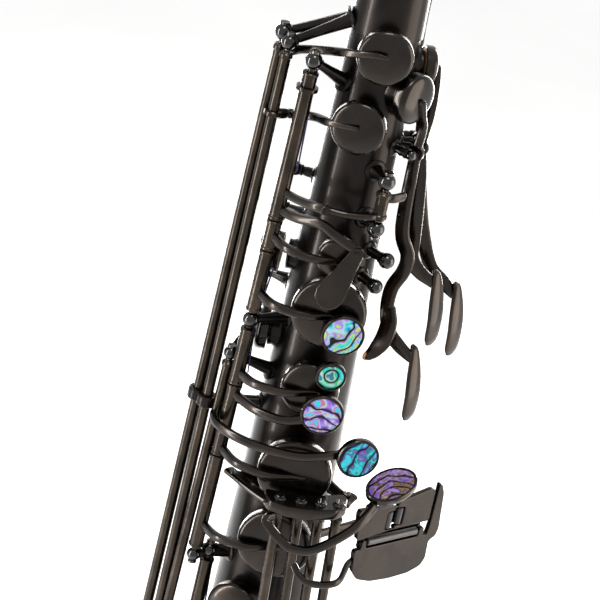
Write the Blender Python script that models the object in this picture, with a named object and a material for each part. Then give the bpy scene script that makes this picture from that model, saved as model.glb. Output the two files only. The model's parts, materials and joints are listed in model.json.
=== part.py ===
"""Soprano saxophone, straight body, built from its separate pieces.

Frame: metres, +Z up along the bore, origin in the middle of the bell rim, which is the lowest face.
The player's fingers work from the front, -Y. Angles about the bore are measured from the front
towards +X, so 90 degrees is the side with the palm keys and the left little finger's table.
A key that stands open is modelled closed on its tone hole and then swung open about its hinge.
"""
import bpy
import bmesh
from math import cos, exp, pi, radians, sin
from mathutils import Matrix, Vector

MM = 0.001

# Driving dimensions of the bore and the bell.
REFERENCE_HEIGHT = 442.8 * MM
REFERENCE_RADIUS = 11.56 * MM
TAPER = 0.028
WALL = 0.7 * MM
BELL_TOP = 104 * MM
BODY_TOP = 566 * MM
NECK_TOP = 640 * MM
MOUTHPIECE_TOP = 702 * MM
FLARE = 23.6 * MM
FLARE_LENGTH = 24 * MM
SLEEVE_START = 523 * MM
SLEEVE_STEP = 0.43 * MM

# Keywork.
GAP = 0.3 * MM
CHIMNEY_HEIGHT = 1.8 * MM
CHIMNEY_WALL = 0.8 * MM
CUP_THICKNESS = 4.0 * MM
BALL_RADIUS = 2.3 * MM
ROD_RADIUS = 1.0 * MM
BARREL_RADIUS = 2.0 * MM
BARREL_BORE = 1.3 * MM
HOLE_SIDES = 12
BODY_SIDES = 20
BELL_SIDES = 28
ARM_WIDTH = 2.2 * MM
ARM_DEPTH = 2.2 * MM
PEARL_SIDES = 10
PEARL_RADIUS = 5.1 * MM
SMALL_PEARL_RADIUS = 3.4 * MM

# Tone holes: height in mm, angle, hole radius in mm, cup radius in mm, rim height above the tube in mm.
TONE_HOLES = {
    "palm_f": (541.0, 140, 3.4, 5.4, 1.8),
    "high_e": (520.2, 5, 4.4, 7.3, 1.8),
    "palm_eb": (515.0, 103, 3.6, 5.4, 1.4),
    "palm_d": (509.4, 53, 4.2, 6.8, 1.8),
    "side_c": (500.4, -7, 4.4, 7.2, 1.8),
    "small_c": (464.8, 3, 3.4, 5.6, 1.8),
    "c_sharp_vent": (456.2, -86, 3.2, 5.6, 1.8),
    "b": (449.0, 6, 6.8, 10.1, 1.8),
    "side_bb": (433.2, -86, 3.8, 6.2, 1.8),
    "bis": (426.0, 4, 5.2, 7.9, 1.8),
    "a": (400.0, 7, 7.0, 10.3, 1.8),
    "g": (377.2, 3, 7.2, 10.5, 1.8),
    "g_sharp": (351.1, -22, 6.0, 8.5, 1.8),
    "f_sharp": (324.0, -4, 7.8, 10.8, 1.8),
    "f": (294.0, -4, 8.2, 11.2, 1.8),
    "e": (263.0, -4, 8.6, 11.6, 1.8),
    "d": (229.0, -4, 9.0, 12.2, 1.8),
    "low_eb": (193.0, -98, 9.0, 11.8, 1.8),
    "low_c": (158.0, -4, 10.0, 13.0, 1.8),
    "low_c_sharp": (124.0, 0, 8.4, 11.4, 1.8),
    "low_b": (81.5, 84, 10.8, 13.6, 2.2),
    "low_bb": (48.0, 84, 11.6, 14.6, 4.0),
}
BELL_HOLES = ("low_b", "low_bb")

FINISHES = {
    "black_lacquer": ((0.045, 0.040, 0.037), 0.34, 1.0),
    "key_lacquer": ((0.060, 0.052, 0.047), 0.30, 1.0),
    "rod_steel": ((0.120, 0.100, 0.085), 0.28, 1.0),
    "pearl": ((0.25, 0.45, 0.50), 0.15, 0.0),
    "cork": ((0.60, 0.38, 0.20), 0.85, 0.0),
    "ebonite": ((0.012, 0.012, 0.013), 0.22, 0.0),
    "cane": ((0.78, 0.64, 0.36), 0.60, 0.0),
    "roller_black": ((0.010, 0.010, 0.012), 0.20, 0.0),
}


# --- places ---------------------------------------------------------------------------------------

def mm(x, y, z):
    """A point given in millimetres."""
    return Vector((x, y, z)) * MM


def outward(angle):
    """Unit vector away from the bore at this angle, in degrees."""
    return Vector((sin(radians(angle)), -cos(radians(angle)), 0.0))


def sideways(angle):
    """Unit vector round the bore at this angle, towards larger angles."""
    return Vector((cos(radians(angle)), sin(radians(angle)), 0.0))


def polar(radius, angle, height):
    """A point in millimetres from its distance to the bore, its angle and its height."""
    return (outward(angle) * radius + Vector((0, 0, height))) * MM


def tube_radius(height):
    """Outer radius of the conical body tube."""
    return REFERENCE_RADIUS - TAPER * (height - REFERENCE_HEIGHT)


def bell_radius(height):
    """Outer radius of the flaring bell."""
    return tube_radius(height) + FLARE * exp(-height / FLARE_LENGTH)


def skin_radius(height):
    """Outer radius of whatever wall is at this height."""
    if height < BELL_TOP:
        return bell_radius(height)
    return tube_radius(height) + (SLEEVE_STEP if height > SLEEVE_START else 0.0)


def axes_matrix(origin, direction, up=Vector((0, 0, 1))):
    """A frame at origin with its Z along direction."""
    z = direction.normalized()
    x = up.cross(z)
    if x.length < 1e-4:
        x = Vector((1, 0, 0)) - z * z.x
    x.normalize()
    rotation = Matrix((x, z.cross(x), z)).transposed().to_4x4()
    return Matrix.Translation(origin) @ rotation


class Hinge:
    """A straight pivot line between two ends. Its axis runs from the first to the second.

    A key's positive turn about the axis, by the right-hand rule, is the way the finger drives it.
    """

    def __init__(self, lower, upper):
        self.lower = lower
        self.upper = upper
        self.axis = (upper - lower).normalized()

    def at(self, height):
        """The point of the line at this height, in millimetres."""
        share = (height * MM - self.lower.z) / (self.upper.z - self.lower.z)
        return self.lower.lerp(self.upper, share)

    def turn(self, angle):
        """Rotation about the line, by the right-hand rule, in degrees."""
        shift = Matrix.Translation(self.lower)
        return shift @ Matrix.Rotation(radians(angle), 4, self.axis) @ shift.inverted()


HINGES = {
    "upper_stack": Hinge(mm(-21.3, -12.4, 364.0), mm(-16.4, -11.5, 514.9)),
    "lower_stack": Hinge(mm(-20.8, -13.8, 212.5), mm(-17.3, -9.6, 364.9)),
    "high_e": Hinge(mm(-25.7, -3.8, 518.2), mm(-35.4, -8.4, 232.0)),
    "side_c": Hinge(mm(-23.6, -6.7, 516.8), mm(-30.6, -11.0, 254.0)),
    "side_bb": Hinge(mm(-28.2, -14.6, 284.5), mm(-22.4, -9.5, 427.5)),
    "c_sharp_vent": Hinge(mm(-18.2, 7.5, 446.0), mm(-17.4, 7.5, 466.0)),
    "high_f_lever": Hinge(mm(8.5, -14.7, 488.0), mm(8.4, -15.2, 474.7)),
    "g_sharp": Hinge(mm(1.6, -27.3, 338.0), mm(-0.8, -26.7, 391.5)),
    "low_bb": Hinge(mm(24.2, -28.6, 46.0), mm(4.9, -26.2, 391.5)),
    "low_b": Hinge(mm(27.6, -24.8, 78.0), mm(10.4, -25.4, 391.5)),
    "low_c_sharp": Hinge(mm(29.2, -18.6, 114.0), mm(15.3, -23.7, 391.5)),
    "low_keys": Hinge(mm(-24.6, -17.4, 144.0), mm(-23.0, -15.6, 206.5)),
}


PALM_PIVOT_RADIUS = 15.4
PALM_PIVOT_HEIGHT = 494.0
PALM_ANGLES = {"palm_d": 68.5, "palm_eb": 87.5, "palm_f": 106.5}
PALM_POST_ANGLES = (59.0, 78.0, 97.0, 116.0)
OCTAVE_PIVOT = (0.0, 16.5, 486.0)
BODY_OCTAVE_PIVOT = (0.0, 14.2, 512.0)
NECK_OCTAVE_PIVOT = (0.0, 11.6, 588.0)
BODY_PIP = 530.0
NECK_PIP = 606.0


def palm_hinge(angle):
    """A palm key's short pivot, along the way round the bore."""
    pivot = polar(PALM_PIVOT_RADIUS, angle, PALM_PIVOT_HEIGHT)
    half = sideways(angle) * 0.7 * MM
    return Hinge(pivot - half, pivot + half)


def octave_hinge(pivot, half_width):
    """A hinge across the back whose positive turn lifts what is above it."""
    return Hinge(mm(half_width, pivot[1], pivot[2]), mm(-half_width, pivot[1], pivot[2]))


HINGES.update({name: palm_hinge(angle) for name, angle in PALM_ANGLES.items()})
HINGES["octave_lever"] = octave_hinge(OCTAVE_PIVOT, 3.4)
HINGES["body_octave"] = octave_hinge(BODY_OCTAVE_PIVOT, 2.9)
HINGES["neck_octave"] = octave_hinge(NECK_OCTAVE_PIVOT, 2.7)

# Places a plate's outline in the YZ plane, with its thickness along X.
SIDE_VIEW = Matrix(((0, 0, 1, 0), (1, 0, 0, 0), (0, 1, 0, 0), (0, 0, 0, 1)))


# --- shapes ---------------------------------------------------------------------------------------

def finish_piece(bm):
    """Point the faces of a closed piece outwards."""
    bmesh.ops.recalc_face_normals(bm, faces=bm.faces)
    return bm


def cone(start, end, start_radius, end_radius, sides=10):
    """A closed cone or cylinder between two points."""
    bm = bmesh.new()
    span = end - start
    place = axes_matrix((start + end) / 2, span)
    bmesh.ops.create_cone(bm, cap_ends=True, segments=sides, radius1=start_radius,
                          radius2=end_radius, depth=span.length, matrix=place)
    return finish_piece(bm)


def ball(centre, radius, sides=6, rings=4):
    """A ball with its poles up and down."""
    bm = bmesh.new()
    bmesh.ops.create_uvsphere(bm, u_segments=sides, v_segments=rings, radius=radius,
                              matrix=Matrix.Translation(centre))
    return finish_piece(bm)


def turned(profile, sides=16, place=Matrix.Identity(4), ring=False):
    """A solid of revolution about Z from (radius, height) points.

    A plain profile starts and ends on the axis. With ring it is a closed outline clear of the axis.
    """
    bm = bmesh.new()
    loops = []
    for radius, height in profile:
        if radius == 0:
            loops.append([bm.verts.new((0, 0, height))])
            continue
        angles = [2 * pi * step / sides for step in range(sides)]
        loops.append([bm.verts.new((radius * cos(a), radius * sin(a), height)) for a in angles])
    pairs = list(zip(loops, loops[1:]))
    if ring:
        pairs.append((loops[-1], loops[0]))
    for low, high in pairs:
        for step in range(sides):
            after = (step + 1) % sides
            corners = [low[step % len(low)], low[after % len(low)],
                       high[after % len(high)], high[step % len(high)]]
            bm.faces.new(dict.fromkeys(corners))
    bm.transform(place)
    return finish_piece(bm)


def bar(points, width=ARM_WIDTH, depth=ARM_DEPTH, facing=None):
    """A bar of rectangular section through the points.

    The depth lies along facing, which is away from the bore unless given. Width and depth may
    be one number, or one for each point.
    """
    bm = bmesh.new()
    count = len(points)
    widths = width if isinstance(width, (list, tuple)) else [width] * count
    depths = depth if isinstance(depth, (list, tuple)) else [depth] * count
    rings = []
    for index, point in enumerate(points):
        before = points[max(index - 1, 0)]
        after = points[min(index + 1, count - 1)]
        along = (after - before).normalized()
        normal = Vector(facing) if facing else Vector((point.x, point.y, 0))
        normal = (normal - along * normal.dot(along)).normalized()
        across = along.cross(normal) * widths[index] / 2
        normal = normal * depths[index] / 2
        rings.append([bm.verts.new(point + across * a + normal * b)
                      for a, b in ((-1, -1), (1, -1), (1, 1), (-1, 1))])
    for low, high in zip(rings, rings[1:]):
        for step in range(4):
            after = (step + 1) % 4
            bm.faces.new((low[step], low[after], high[after], high[step]))
    bm.faces.new(rings[0])
    bm.faces.new(rings[-1])
    return finish_piece(bm)


def smooth_path(points, steps=3):
    """Points along a Catmull-Rom curve through the given ones."""
    ends = [points[0] * 2 - points[1]] + list(points) + [points[-1] * 2 - points[-2]]
    path = []
    for index in range(1, len(ends) - 2):
        p0, p1, p2, p3 = ends[index - 1:index + 3]
        for step in range(steps):
            t = step / steps
            path.append(0.5 * (2 * p1 + (p2 - p0) * t + (2 * p0 - 5 * p1 + 4 * p2 - p3) * t ** 2
                               + (3 * p1 - p0 - 3 * p2 + p3) * t ** 3))
    path.append(points[-1])
    return path


def plate(outline, thickness, place):
    """A flat plate: its outline in millimetres in the place's XY, its thickness along Z."""
    bm = bmesh.new()
    lower = [bm.verts.new((x * MM, y * MM, -thickness / 2)) for x, y in outline]
    upper = [bm.verts.new((x * MM, y * MM, thickness / 2)) for x, y in outline]
    count = len(outline)
    bm.faces.new(lower)
    bm.faces.new(upper)
    for step in range(count):
        after = (step + 1) % count
        bm.faces.new((lower[step], lower[after], upper[after], upper[step]))
    bm.transform(place)
    return finish_piece(bm)


def stadium(length, width, steps=5):
    """Outline of a bar with round ends, in millimetres, lengthwise along X."""
    half = width / 2
    reach = length / 2 - half
    outline = []
    for side in (1, -1):
        for step in range(steps + 1):
            angle = radians(-90 + 180 * step / steps)
            outline.append((side * (reach + half * cos(angle)), side * half * sin(angle)))
    return outline


# --- solids ---------------------------------------------------------------------------------------

def scratch_object(bm):
    """A piece as an object of its own, only used while solids are combined."""
    mesh = bpy.data.meshes.new("scratch")
    bm.to_mesh(mesh)
    bm.free()
    return bpy.data.objects.new("scratch", mesh)


def combine(base, others, operation):
    """The base piece joined with, or cut by, the others."""
    scene = bpy.context.scene.collection
    base_object = scratch_object(base)
    scene.objects.link(base_object)
    operands = bpy.data.collections.new("operands")
    scene.children.link(operands)
    scratch = [scratch_object(other) for other in others]
    for item in scratch:
        operands.objects.link(item)
    modifier = base_object.modifiers.new("combine", "BOOLEAN")
    modifier.solver = "EXACT"
    modifier.operation = operation
    modifier.operand_type = "COLLECTION"
    modifier.collection = operands
    depsgraph = bpy.context.evaluated_depsgraph_get()
    result = bmesh.new()
    result.from_mesh(base_object.evaluated_get(depsgraph).to_mesh())
    for item in scratch + [base_object]:
        bpy.data.objects.remove(item)
    bpy.data.collections.remove(operands)
    return result


def tidy_mesh(bm):
    """Merge points that coincide and flatten faces that a Boolean split."""
    bmesh.ops.remove_doubles(bm, verts=bm.verts, dist=2e-6)
    bmesh.ops.dissolve_limit(bm, angle_limit=radians(0.3), verts=bm.verts, edges=bm.edges)
    return bm


def union(pieces, cutters=()):
    """One closed solid from overlapping pieces, less the cutters."""
    solid = pieces[0]
    if len(pieces) > 1:
        solid = combine(solid, pieces[1:], "UNION")
    if cutters:
        solid = combine(solid, cutters, "DIFFERENCE")
    if len(pieces) > 1 or cutters:
        tidy_mesh(solid)
    return solid


def material(slot):
    """The Principled material of a finish, made on first use."""
    if slot in bpy.data.materials:
        return bpy.data.materials[slot]
    colour, roughness, metallic = FINISHES[slot]
    made = bpy.data.materials.new(slot)
    made.use_nodes = True
    shader = made.node_tree.nodes["Principled BSDF"]
    shader.inputs["Base Color"].default_value = (*colour, 1.0)
    shader.inputs["Roughness"].default_value = roughness
    shader.inputs["Metallic"].default_value = metallic
    return made


def node(name, bm, slot, origin=Vector((0, 0, 0))):
    """Put a finished solid in the scene as a named object with its origin where given."""
    bm.transform(Matrix.Translation(-origin))
    mesh = bpy.data.meshes.new(name)
    bm.to_mesh(mesh)
    bm.free()
    mesh.shade_smooth()
    mesh.set_sharp_from_angle(angle=radians(35))
    mesh.materials.append(material(slot))
    item = bpy.data.objects.new(name, mesh)
    item.location = origin
    bpy.context.scene.collection.objects.link(item)
    return item


# --- parts of the body -----------------------------------------------------------------------------

def seat_distance(hole):
    """Distance from the bore to the rim of a tone hole's chimney."""
    height, _angle, _radius, _cup, rim = TONE_HOLES[hole]
    return skin_radius(height * MM) + rim * MM


def chimney(hole, core):
    """The tone hole's wall, as a full cylinder that starts half way into the tube wall."""
    height, angle, radius, _cup, _rim = TONE_HOLES[hole]
    centre = Vector((0, 0, height * MM))
    outer = radius * MM + CHIMNEY_WALL
    start = centre + outward(angle) * (outer * 0.3)
    full = cone(start, centre + outward(angle) * seat_distance(hole), outer, outer, HOLE_SIDES)
    return combine(full, [core.copy()], "DIFFERENCE")


def chimney_bore(hole):
    """The hole through the chimney and the wall under it."""
    height, angle, radius, _cup, _rim = TONE_HOLES[hole]
    centre = Vector((0, 0, height * MM))
    end = centre + outward(angle) * (seat_distance(hole) + 1 * MM)
    return cone(centre, end, radius * MM, radius * MM, HOLE_SIDES)


def post(point, base_radius=2.1 * MM, ball_radius=BALL_RADIUS, foot=None):
    """A tapered pillar from the wall to a ball at the point."""
    height = foot if foot is not None else point.z
    radial = Vector((point.x, point.y, 0)).normalized()
    start = radial * (skin_radius(height) - 0.4 * MM) + Vector((0, 0, height))
    return [cone(start, point, base_radius, 1.3 * MM, 6), ball(point, ball_radius)]


def rod_cutter(hinge):
    """Clearance for a hinge rod, right through its posts."""
    reach = hinge.axis * 6 * MM
    radius = ROD_RADIUS + GAP
    return cone(hinge.lower - reach, hinge.upper + reach, radius, radius, 8)


def wall_core(heights, radius_at, sides):
    """A solid of the bore out to the middle of the wall, which trims a chimney's lower end."""
    outline = [(radius_at(z) - WALL / 2, z) for z in heights]
    return turned([(0, heights[0])] + outline + [(0, heights[-1])], sides)


# Posts on the body tube: hinge, height and height of the foot in mm, ball radius in mm.
POSTS = (
    ("upper_stack", 514.9, 509.0, 2.3),
    ("upper_stack", 440.0, 440.0, 2.3),
    ("upper_stack", 364.0, 364.0, 2.0),
    ("lower_stack", 364.9, 364.9, 2.3),
    ("lower_stack", 284.5, 284.5, 2.3),
    ("lower_stack", 212.5, 212.5, 2.3),
    ("high_e", 518.2, 525.0, 2.3),
    ("high_e", 232.0, 232.0, 2.3),
    ("side_c", 516.8, 525.0, 2.1),
    ("side_c", 254.0, 254.0, 2.3),
    ("side_bb", 427.5, 422.5, 1.9),
    ("side_bb", 284.5, 284.5, 2.3),
    ("c_sharp_vent", 466.0, 466.0, 2.1),
    ("c_sharp_vent", 446.0, 446.0, 2.1),
    ("high_f_lever", 488.0, 488.0, 2.3),
    ("high_f_lever", 474.7, 474.7, 2.3),
    ("g_sharp", 338.0, 338.0, 2.3),
    ("low_c_sharp", 114.0, 114.0, 2.3),
    ("low_keys", 206.5, 206.5, 2.3),
    ("low_keys", 144.0, 144.0, 2.3),
)
# The bracket's feet: angle, height at the tube and height at the bracket in mm.
BRACKET_FEET = ((-38.0, 390.4, 394.6), (44.0, 394.6, 394.6))
GUIDE_HEIGHT = 411.2
SIDE_ROD_RADIUS = 1.5 * MM


def pair_of_posts(pivot, spread, ball_radius=1.7 * MM):
    """Two pillars either side of a pivot that lies across the bore at the back."""
    pieces = []
    for side in (-1, 1):
        pieces += post(mm(side * spread, pivot[1], pivot[2]), 1.7 * MM, ball_radius)
    return pieces


def pip(height, reach):
    """A small vent tube at the back of the bore."""
    start = Vector((0, (skin_radius(height * MM) - 0.4 * MM), height * MM))
    return cone(start, start + Vector((0, reach * MM, 0)), 2.0 * MM, 2.0 * MM, 8)


def pip_bore(height):
    """The vent through the pip and the wall."""
    start = Vector((0, 0, height * MM))
    return cone(start, start + Vector((0, 30 * MM, 0)), 0.9 * MM, 0.9 * MM, 8)


def make_body():
    """The body tube with its tone-hole chimneys, posts, feet and receiver, soldered into one."""
    collar = 11.2 * MM
    outline = [(tube_radius(BELL_TOP), BELL_TOP),
               (tube_radius(SLEEVE_START), SLEEVE_START),
               (tube_radius(SLEEVE_START) + SLEEVE_STEP, SLEEVE_START + 0.2 * MM),
               (tube_radius(BODY_TOP - 14 * MM) + SLEEVE_STEP, BODY_TOP - 14 * MM),
               (collar - 1 * MM, BODY_TOP - 13 * MM),
               (collar, BODY_TOP - 12 * MM),
               (collar, BODY_TOP)]
    bore = [(tube_radius(BODY_TOP) - WALL, BODY_TOP), (tube_radius(BELL_TOP) - WALL, BELL_TOP)]
    tube = turned(outline + bore, BODY_SIDES, ring=True)
    holes = [name for name in TONE_HOLES if name not in BELL_HOLES]
    core = wall_core((BELL_TOP, BODY_TOP), tube_radius, BODY_SIDES)
    pieces = [tube] + [chimney(name, core) for name in holes]
    for name, height, foot, ball_radius in POSTS:
        pieces += post(HINGES[name].at(height), ball_radius=ball_radius * MM, foot=foot * MM)
    for angle in PALM_POST_ANGLES:
        pieces += post(polar(PALM_PIVOT_RADIUS, angle, PALM_PIVOT_HEIGHT), 1.6 * MM, 1.5 * MM)
    pieces += pair_of_posts(OCTAVE_PIVOT, 5.6)
    pieces += pair_of_posts(BODY_OCTAVE_PIVOT, 5.0)
    pieces.append(pip(BODY_PIP, 2.4))
    pieces += [bracket_foot(*foot) for foot in BRACKET_FEET]
    pieces += rod_guide()
    pieces.append(receiver_lug())
    cutters = [chimney_bore(name) for name in holes]
    cutters += [rod_cutter(HINGES[name]) for name in ("upper_stack", "lower_stack")]
    cutters += [guide_bore(HINGES[name]) for name in ("high_e", "side_c")]
    cutters.append(pip_bore(BODY_PIP))
    cutters.append(lug_bore())
    node("body_tube", union(pieces, cutters), "black_lacquer")


def bracket_foot(angle, low, high):
    """A pillar that carries the little-finger bracket."""
    start = outward(angle) * (tube_radius(low * MM) - 0.4 * MM) + mm(0, 0, low)
    return cone(start, polar(21.9, angle, high), 2.0 * MM, 1.5 * MM)


def rod_guide():
    """The double saddle that keeps the two longest side rods from bowing."""
    far = HINGES["high_e"].at(GUIDE_HEIGHT)
    near = HINGES["side_c"].at(GUIDE_HEIGHT)
    span = (near - far).length / MM
    saddle = plate(stadium(span + 5.6, 5.6), 3.0 * MM,
                   axes_matrix((far + near) / 2, Vector((0, 0, 1)), near - far))
    middle = (far + near) / 2
    radial = Vector((middle.x, middle.y, 0)).normalized()
    start = radial * (skin_radius(middle.z) - 0.4 * MM) + Vector((0, 0, middle.z))
    return [saddle, cone(start, middle - radial * 1.6 * MM, 1.8 * MM, 1.2 * MM, 8)]


def guide_bore(hinge):
    """Clearance for a side rod through the guide."""
    centre = hinge.at(GUIDE_HEIGHT)
    reach = hinge.axis * 3 * MM
    radius = SIDE_ROD_RADIUS + GAP
    return cone(centre - reach, centre + reach, radius, radius)


LUG_ANGLE = 205.0
LUG_HEIGHT = 559.5


def receiver_lug():
    """The ear on the receiver that the neck screw passes through."""
    centre = polar(13.2, LUG_ANGLE, LUG_HEIGHT)
    across = sideways(LUG_ANGLE) * 3.2 * MM
    return cone(centre - across, centre + across, 3.0 * MM, 3.0 * MM, 12)


def lug_bore():
    """The neck screw's clearance hole."""
    centre = polar(13.8, LUG_ANGLE, LUG_HEIGHT)
    across = sideways(LUG_ANGLE) * 6 * MM
    return cone(centre - across, centre + across, 1.5 * MM, 1.5 * MM, 10)


def make_neck_screw():
    """Thumbscrew that clamps the neck."""
    centre = polar(13.8, LUG_ANGLE, LUG_HEIGHT)
    across = sideways(LUG_ANGLE)
    shank = cone(centre - across * 4.5 * MM, centre + across * 4.4 * MM, 1.1 * MM, 1.1 * MM, 10)
    neck = cone(centre + across * 3.6 * MM, centre + across * 7.2 * MM, 2.0 * MM, 1.8 * MM, 12)
    head = plate(stadium(9.0, 6.5), 1.6 * MM,
                 axes_matrix(centre + across * 9.0 * MM, outward(LUG_ANGLE)))
    node("neck_screw", union([shank, neck, head]), "key_lacquer")


BELL_STEPS = (104, 70, 50, 36, 24, 14, 6)
RIM_RADIUS = 47.6 * MM


def make_bell():
    """The flared bell with its two chimneys and the posts of the two longest keys."""
    outer = [(bell_radius(z * MM), z * MM) for z in BELL_STEPS]
    outer[0] = (outer[0][0], BELL_TOP - GAP)
    rim = [(RIM_RADIUS, 1.4 * MM), (RIM_RADIUS, 0.5 * MM), (RIM_RADIUS - 0.5 * MM, 0),
           (RIM_RADIUS - 2.2 * MM, 0)]
    inner = [(bell_radius(z * MM) - 0.8 * MM, z * MM) for z in reversed(BELL_STEPS)]
    inner[-1] = (inner[-1][0], BELL_TOP - GAP)
    wall = turned(outer + rim + inner, BELL_SIDES, ring=True)
    core = wall_core([z * MM for z in BELL_STEPS], bell_radius, BELL_SIDES)
    pieces = [wall] + [chimney(name, core) for name in BELL_HOLES]
    for name, height in (("low_bb", 46.0), ("low_b", 78.0)):
        pieces += post(HINGES[name].at(height))
    cutters = [chimney_bore(name) for name in BELL_HOLES]
    node("bell", union(pieces, cutters), "black_lacquer")


def make_bell_ring():
    """The band over the joint between body and bell."""
    inner_radius = bell_radius(BELL_TOP - 5 * MM) + GAP
    outline = [(inner_radius, 99 * MM), (inner_radius + 1.6 * MM, 99 * MM),
               (inner_radius + 1.6 * MM, 108 * MM), (inner_radius, 108 * MM)]
    node("bell_ring", turned(outline, BELL_SIDES, ring=True), "key_lacquer")


def make_neck():
    """The neck: tenon, collar, cone and the vent of its octave key."""
    tenon = tube_radius(BODY_TOP) - WALL - GAP
    bore_low = 5.9 * MM
    bore_high = 4.6 * MM
    outline = [(tenon, 553 * MM), (tenon, BODY_TOP + GAP), (10.6 * MM, BODY_TOP + GAP),
               (10.6 * MM, 571 * MM), (7.9 * MM, 573 * MM), (5.6 * MM, NECK_TOP),
               (bore_high, NECK_TOP), (bore_low, 553 * MM)]
    pieces = [turned(outline, 16, ring=True)]
    pivot = NECK_OCTAVE_PIVOT
    for side in (-1, 1):
        start = mm(side * 2.6, 6.4, pivot[2])
        end = mm(side * 4.6, pivot[1], pivot[2])
        pieces += [cone(start, end, 1.4 * MM, 1.1 * MM, 6), ball(end, 1.5 * MM)]
    start = mm(0, 5.7, NECK_PIP)
    pieces.append(cone(start, start + mm(0, 3.3, 0), 1.9 * MM, 1.9 * MM, 8))
    cutters = [cone(mm(0, 0, NECK_PIP), mm(0, 20, NECK_PIP), 0.8 * MM, 0.8 * MM, 6)]
    node("neck", union(pieces, cutters), "black_lacquer")


def make_neck_cork():
    """The cork sleeve that the mouthpiece slides over."""
    def cone_radius(height):
        return (7.9 - 2.3 * (height - 573) / 67) * MM
    inner = [(cone_radius(z) + GAP, z * MM) for z in (612, 640)]
    outline = [inner[0], (7.7 * MM, 612 * MM), (7.5 * MM, 640 * MM), inner[1]]
    node("neck_cork", turned(outline, 18, ring=True), "cork")


MOUTHPIECE_LOW = 618 * MM


def make_mouthpiece():
    """Mouthpiece: shank, barrel, beak, the bore and the window under the reed."""
    outline = [(0, MOUTHPIECE_LOW), (10.3 * MM, MOUTHPIECE_LOW), (10.3 * MM, 622 * MM),
               (9.7 * MM, 623 * MM), (10.1 * MM, 660 * MM), (8.9 * MM, 680 * MM),
               (7.9 * MM, MOUTHPIECE_TOP), (0, MOUTHPIECE_TOP)]
    body = turned(outline, 16)
    beak = [(-30, 664), (-9.2, 664), (-1.2 + 4.6, 702.5), (3.4, 706), (-30, 706)]
    beak_cut = plate(beak, 40 * MM, SIDE_VIEW)
    table = [(7.4, 650.5), (7.4, 680), (6.7, 703), (6.7, 706), (30, 706), (30, 650.5)]
    table_cut = plate(table, 40 * MM, SIDE_VIEW)
    bore = turned([(0, 617 * MM), (8.0 * MM, 617 * MM), (8.0 * MM, 641 * MM), (5.6 * MM, 645 * MM),
                   (5.4 * MM, 668 * MM), (0, 668 * MM)], 14)
    window = [(0.5, 664), (9, 664), (9, 700.8), (5.0, 700.8)]
    window_cut = plate(window, 9.0 * MM, SIDE_VIEW)
    node("mouthpiece", union([body], [beak_cut, table_cut, bore, window_cut]), "ebonite")


def make_reed():
    """The reed: flat against the table, thinning to its tip."""
    side = [(7.7, 651.5), (7.7, 680), (7.0, 701.6), (7.3, 701.6), (8.8, 684), (9.9, 672), (9.9, 651.5)]
    node("reed", plate(side, 11.0 * MM, SIDE_VIEW), "cane")


def make_ligature():
    """The band that holds the reed, with its two lugs."""
    outline = [(11.9 * MM, 645 * MM), (12.7 * MM, 645 * MM), (12.7 * MM, 661 * MM),
               (11.9 * MM, 661 * MM)]
    band = turned(outline, 18, ring=True)
    lug = plate([(11.9, 646), (16.5, 646), (16.5, 660), (11.9, 660)], 5.5 * MM,
                SIDE_VIEW)
    slits = [cone(mm(-8, 14.9, z), mm(8, 14.9, z), 0.9 * MM, 0.9 * MM, 8) for z in (649.5, 656.5)]
    node("ligature", union([band, lug], slits), "key_lacquer")


def make_ligature_screw(name, height):
    """A thumbscrew across the ligature's lug."""
    shank = cone(mm(-4.0, 14.9, height), mm(4.2, 14.9, height), 0.6 * MM, 0.6 * MM, 8)
    head = plate(stadium(5.0, 4.4, 4), 1.4 * MM, axes_matrix(mm(6.4, 14.9, height), Vector((0, 1, 0))))
    node(name, union([shank, head]), "key_lacquer")


# --- fittings at the back --------------------------------------------------------------------------

def make_thumb_hook():
    """The right thumb's hook and its foot."""
    height = 302.0
    surface = tube_radius(height * MM) / MM + 0.3
    foot = bar([mm(0, surface + 0.8, height - 10), mm(0, surface + 0.8, height + 10)], 8 * MM,
               1.6 * MM, facing=(0, 1, 0))
    curve = [mm(0, surface + 1.0, height - 4), mm(0, surface + 7, height - 4.5),
             mm(-1, surface + 13, height - 2), mm(-3, surface + 15.5, height + 5),
             mm(-5, surface + 15, height + 11)]
    hook = bar(smooth_path(curve), [6 * MM] * 12 + [5 * MM], 2.0 * MM, facing=(0, 0, 1))
    node("thumb_hook", union([foot, hook]), "key_lacquer")


def make_thumb_rest():
    """The left thumb's round rest."""
    height = 438.0
    surface = tube_radius(height * MM) + GAP
    profile = [(0, 0), (7.6 * MM, 0), (8.2 * MM, 1.0 * MM), (7.4 * MM, 2.6 * MM), (0, 3.2 * MM)]
    place = axes_matrix(Vector((0, surface, height * MM)), Vector((0, 1, 0)))
    node("thumb_rest", turned(profile, 20, place), "roller_black")


STRAP_HEIGHT = 345.0


def make_strap_ring():
    """The ring for the neck strap on its foot."""
    surface = tube_radius(STRAP_HEIGHT * MM) / MM + 0.3
    foot = bar([mm(0, surface + 0.8, STRAP_HEIGHT - 8), mm(0, surface + 0.8, STRAP_HEIGHT + 8)],
               7 * MM, 1.6 * MM, facing=(0, 1, 0))
    centre = mm(0, surface + 7.6, STRAP_HEIGHT)
    section = [(6.0 + 1.1 * cos(radians(a)), 1.1 * sin(radians(a))) for a in range(0, 360, 72)]
    loop = turned([(r * MM, z * MM) for r, z in section], 16,
                  axes_matrix(centre, Vector((1, 0, 0))), ring=True)
    node("strap_ring", union([foot, loop]), "key_lacquer")


# --- hinge rods ------------------------------------------------------------------------------------

def make_hinge_rod(name, stack):
    """A steel rod through the posts and the key barrels of a stack."""
    hinge = HINGES[stack]
    reach = hinge.axis * 3.0 * MM
    node(name, cone(hinge.lower - reach, hinge.upper + reach, ROD_RADIUS, ROD_RADIUS, 12),
         "rod_steel")


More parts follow.
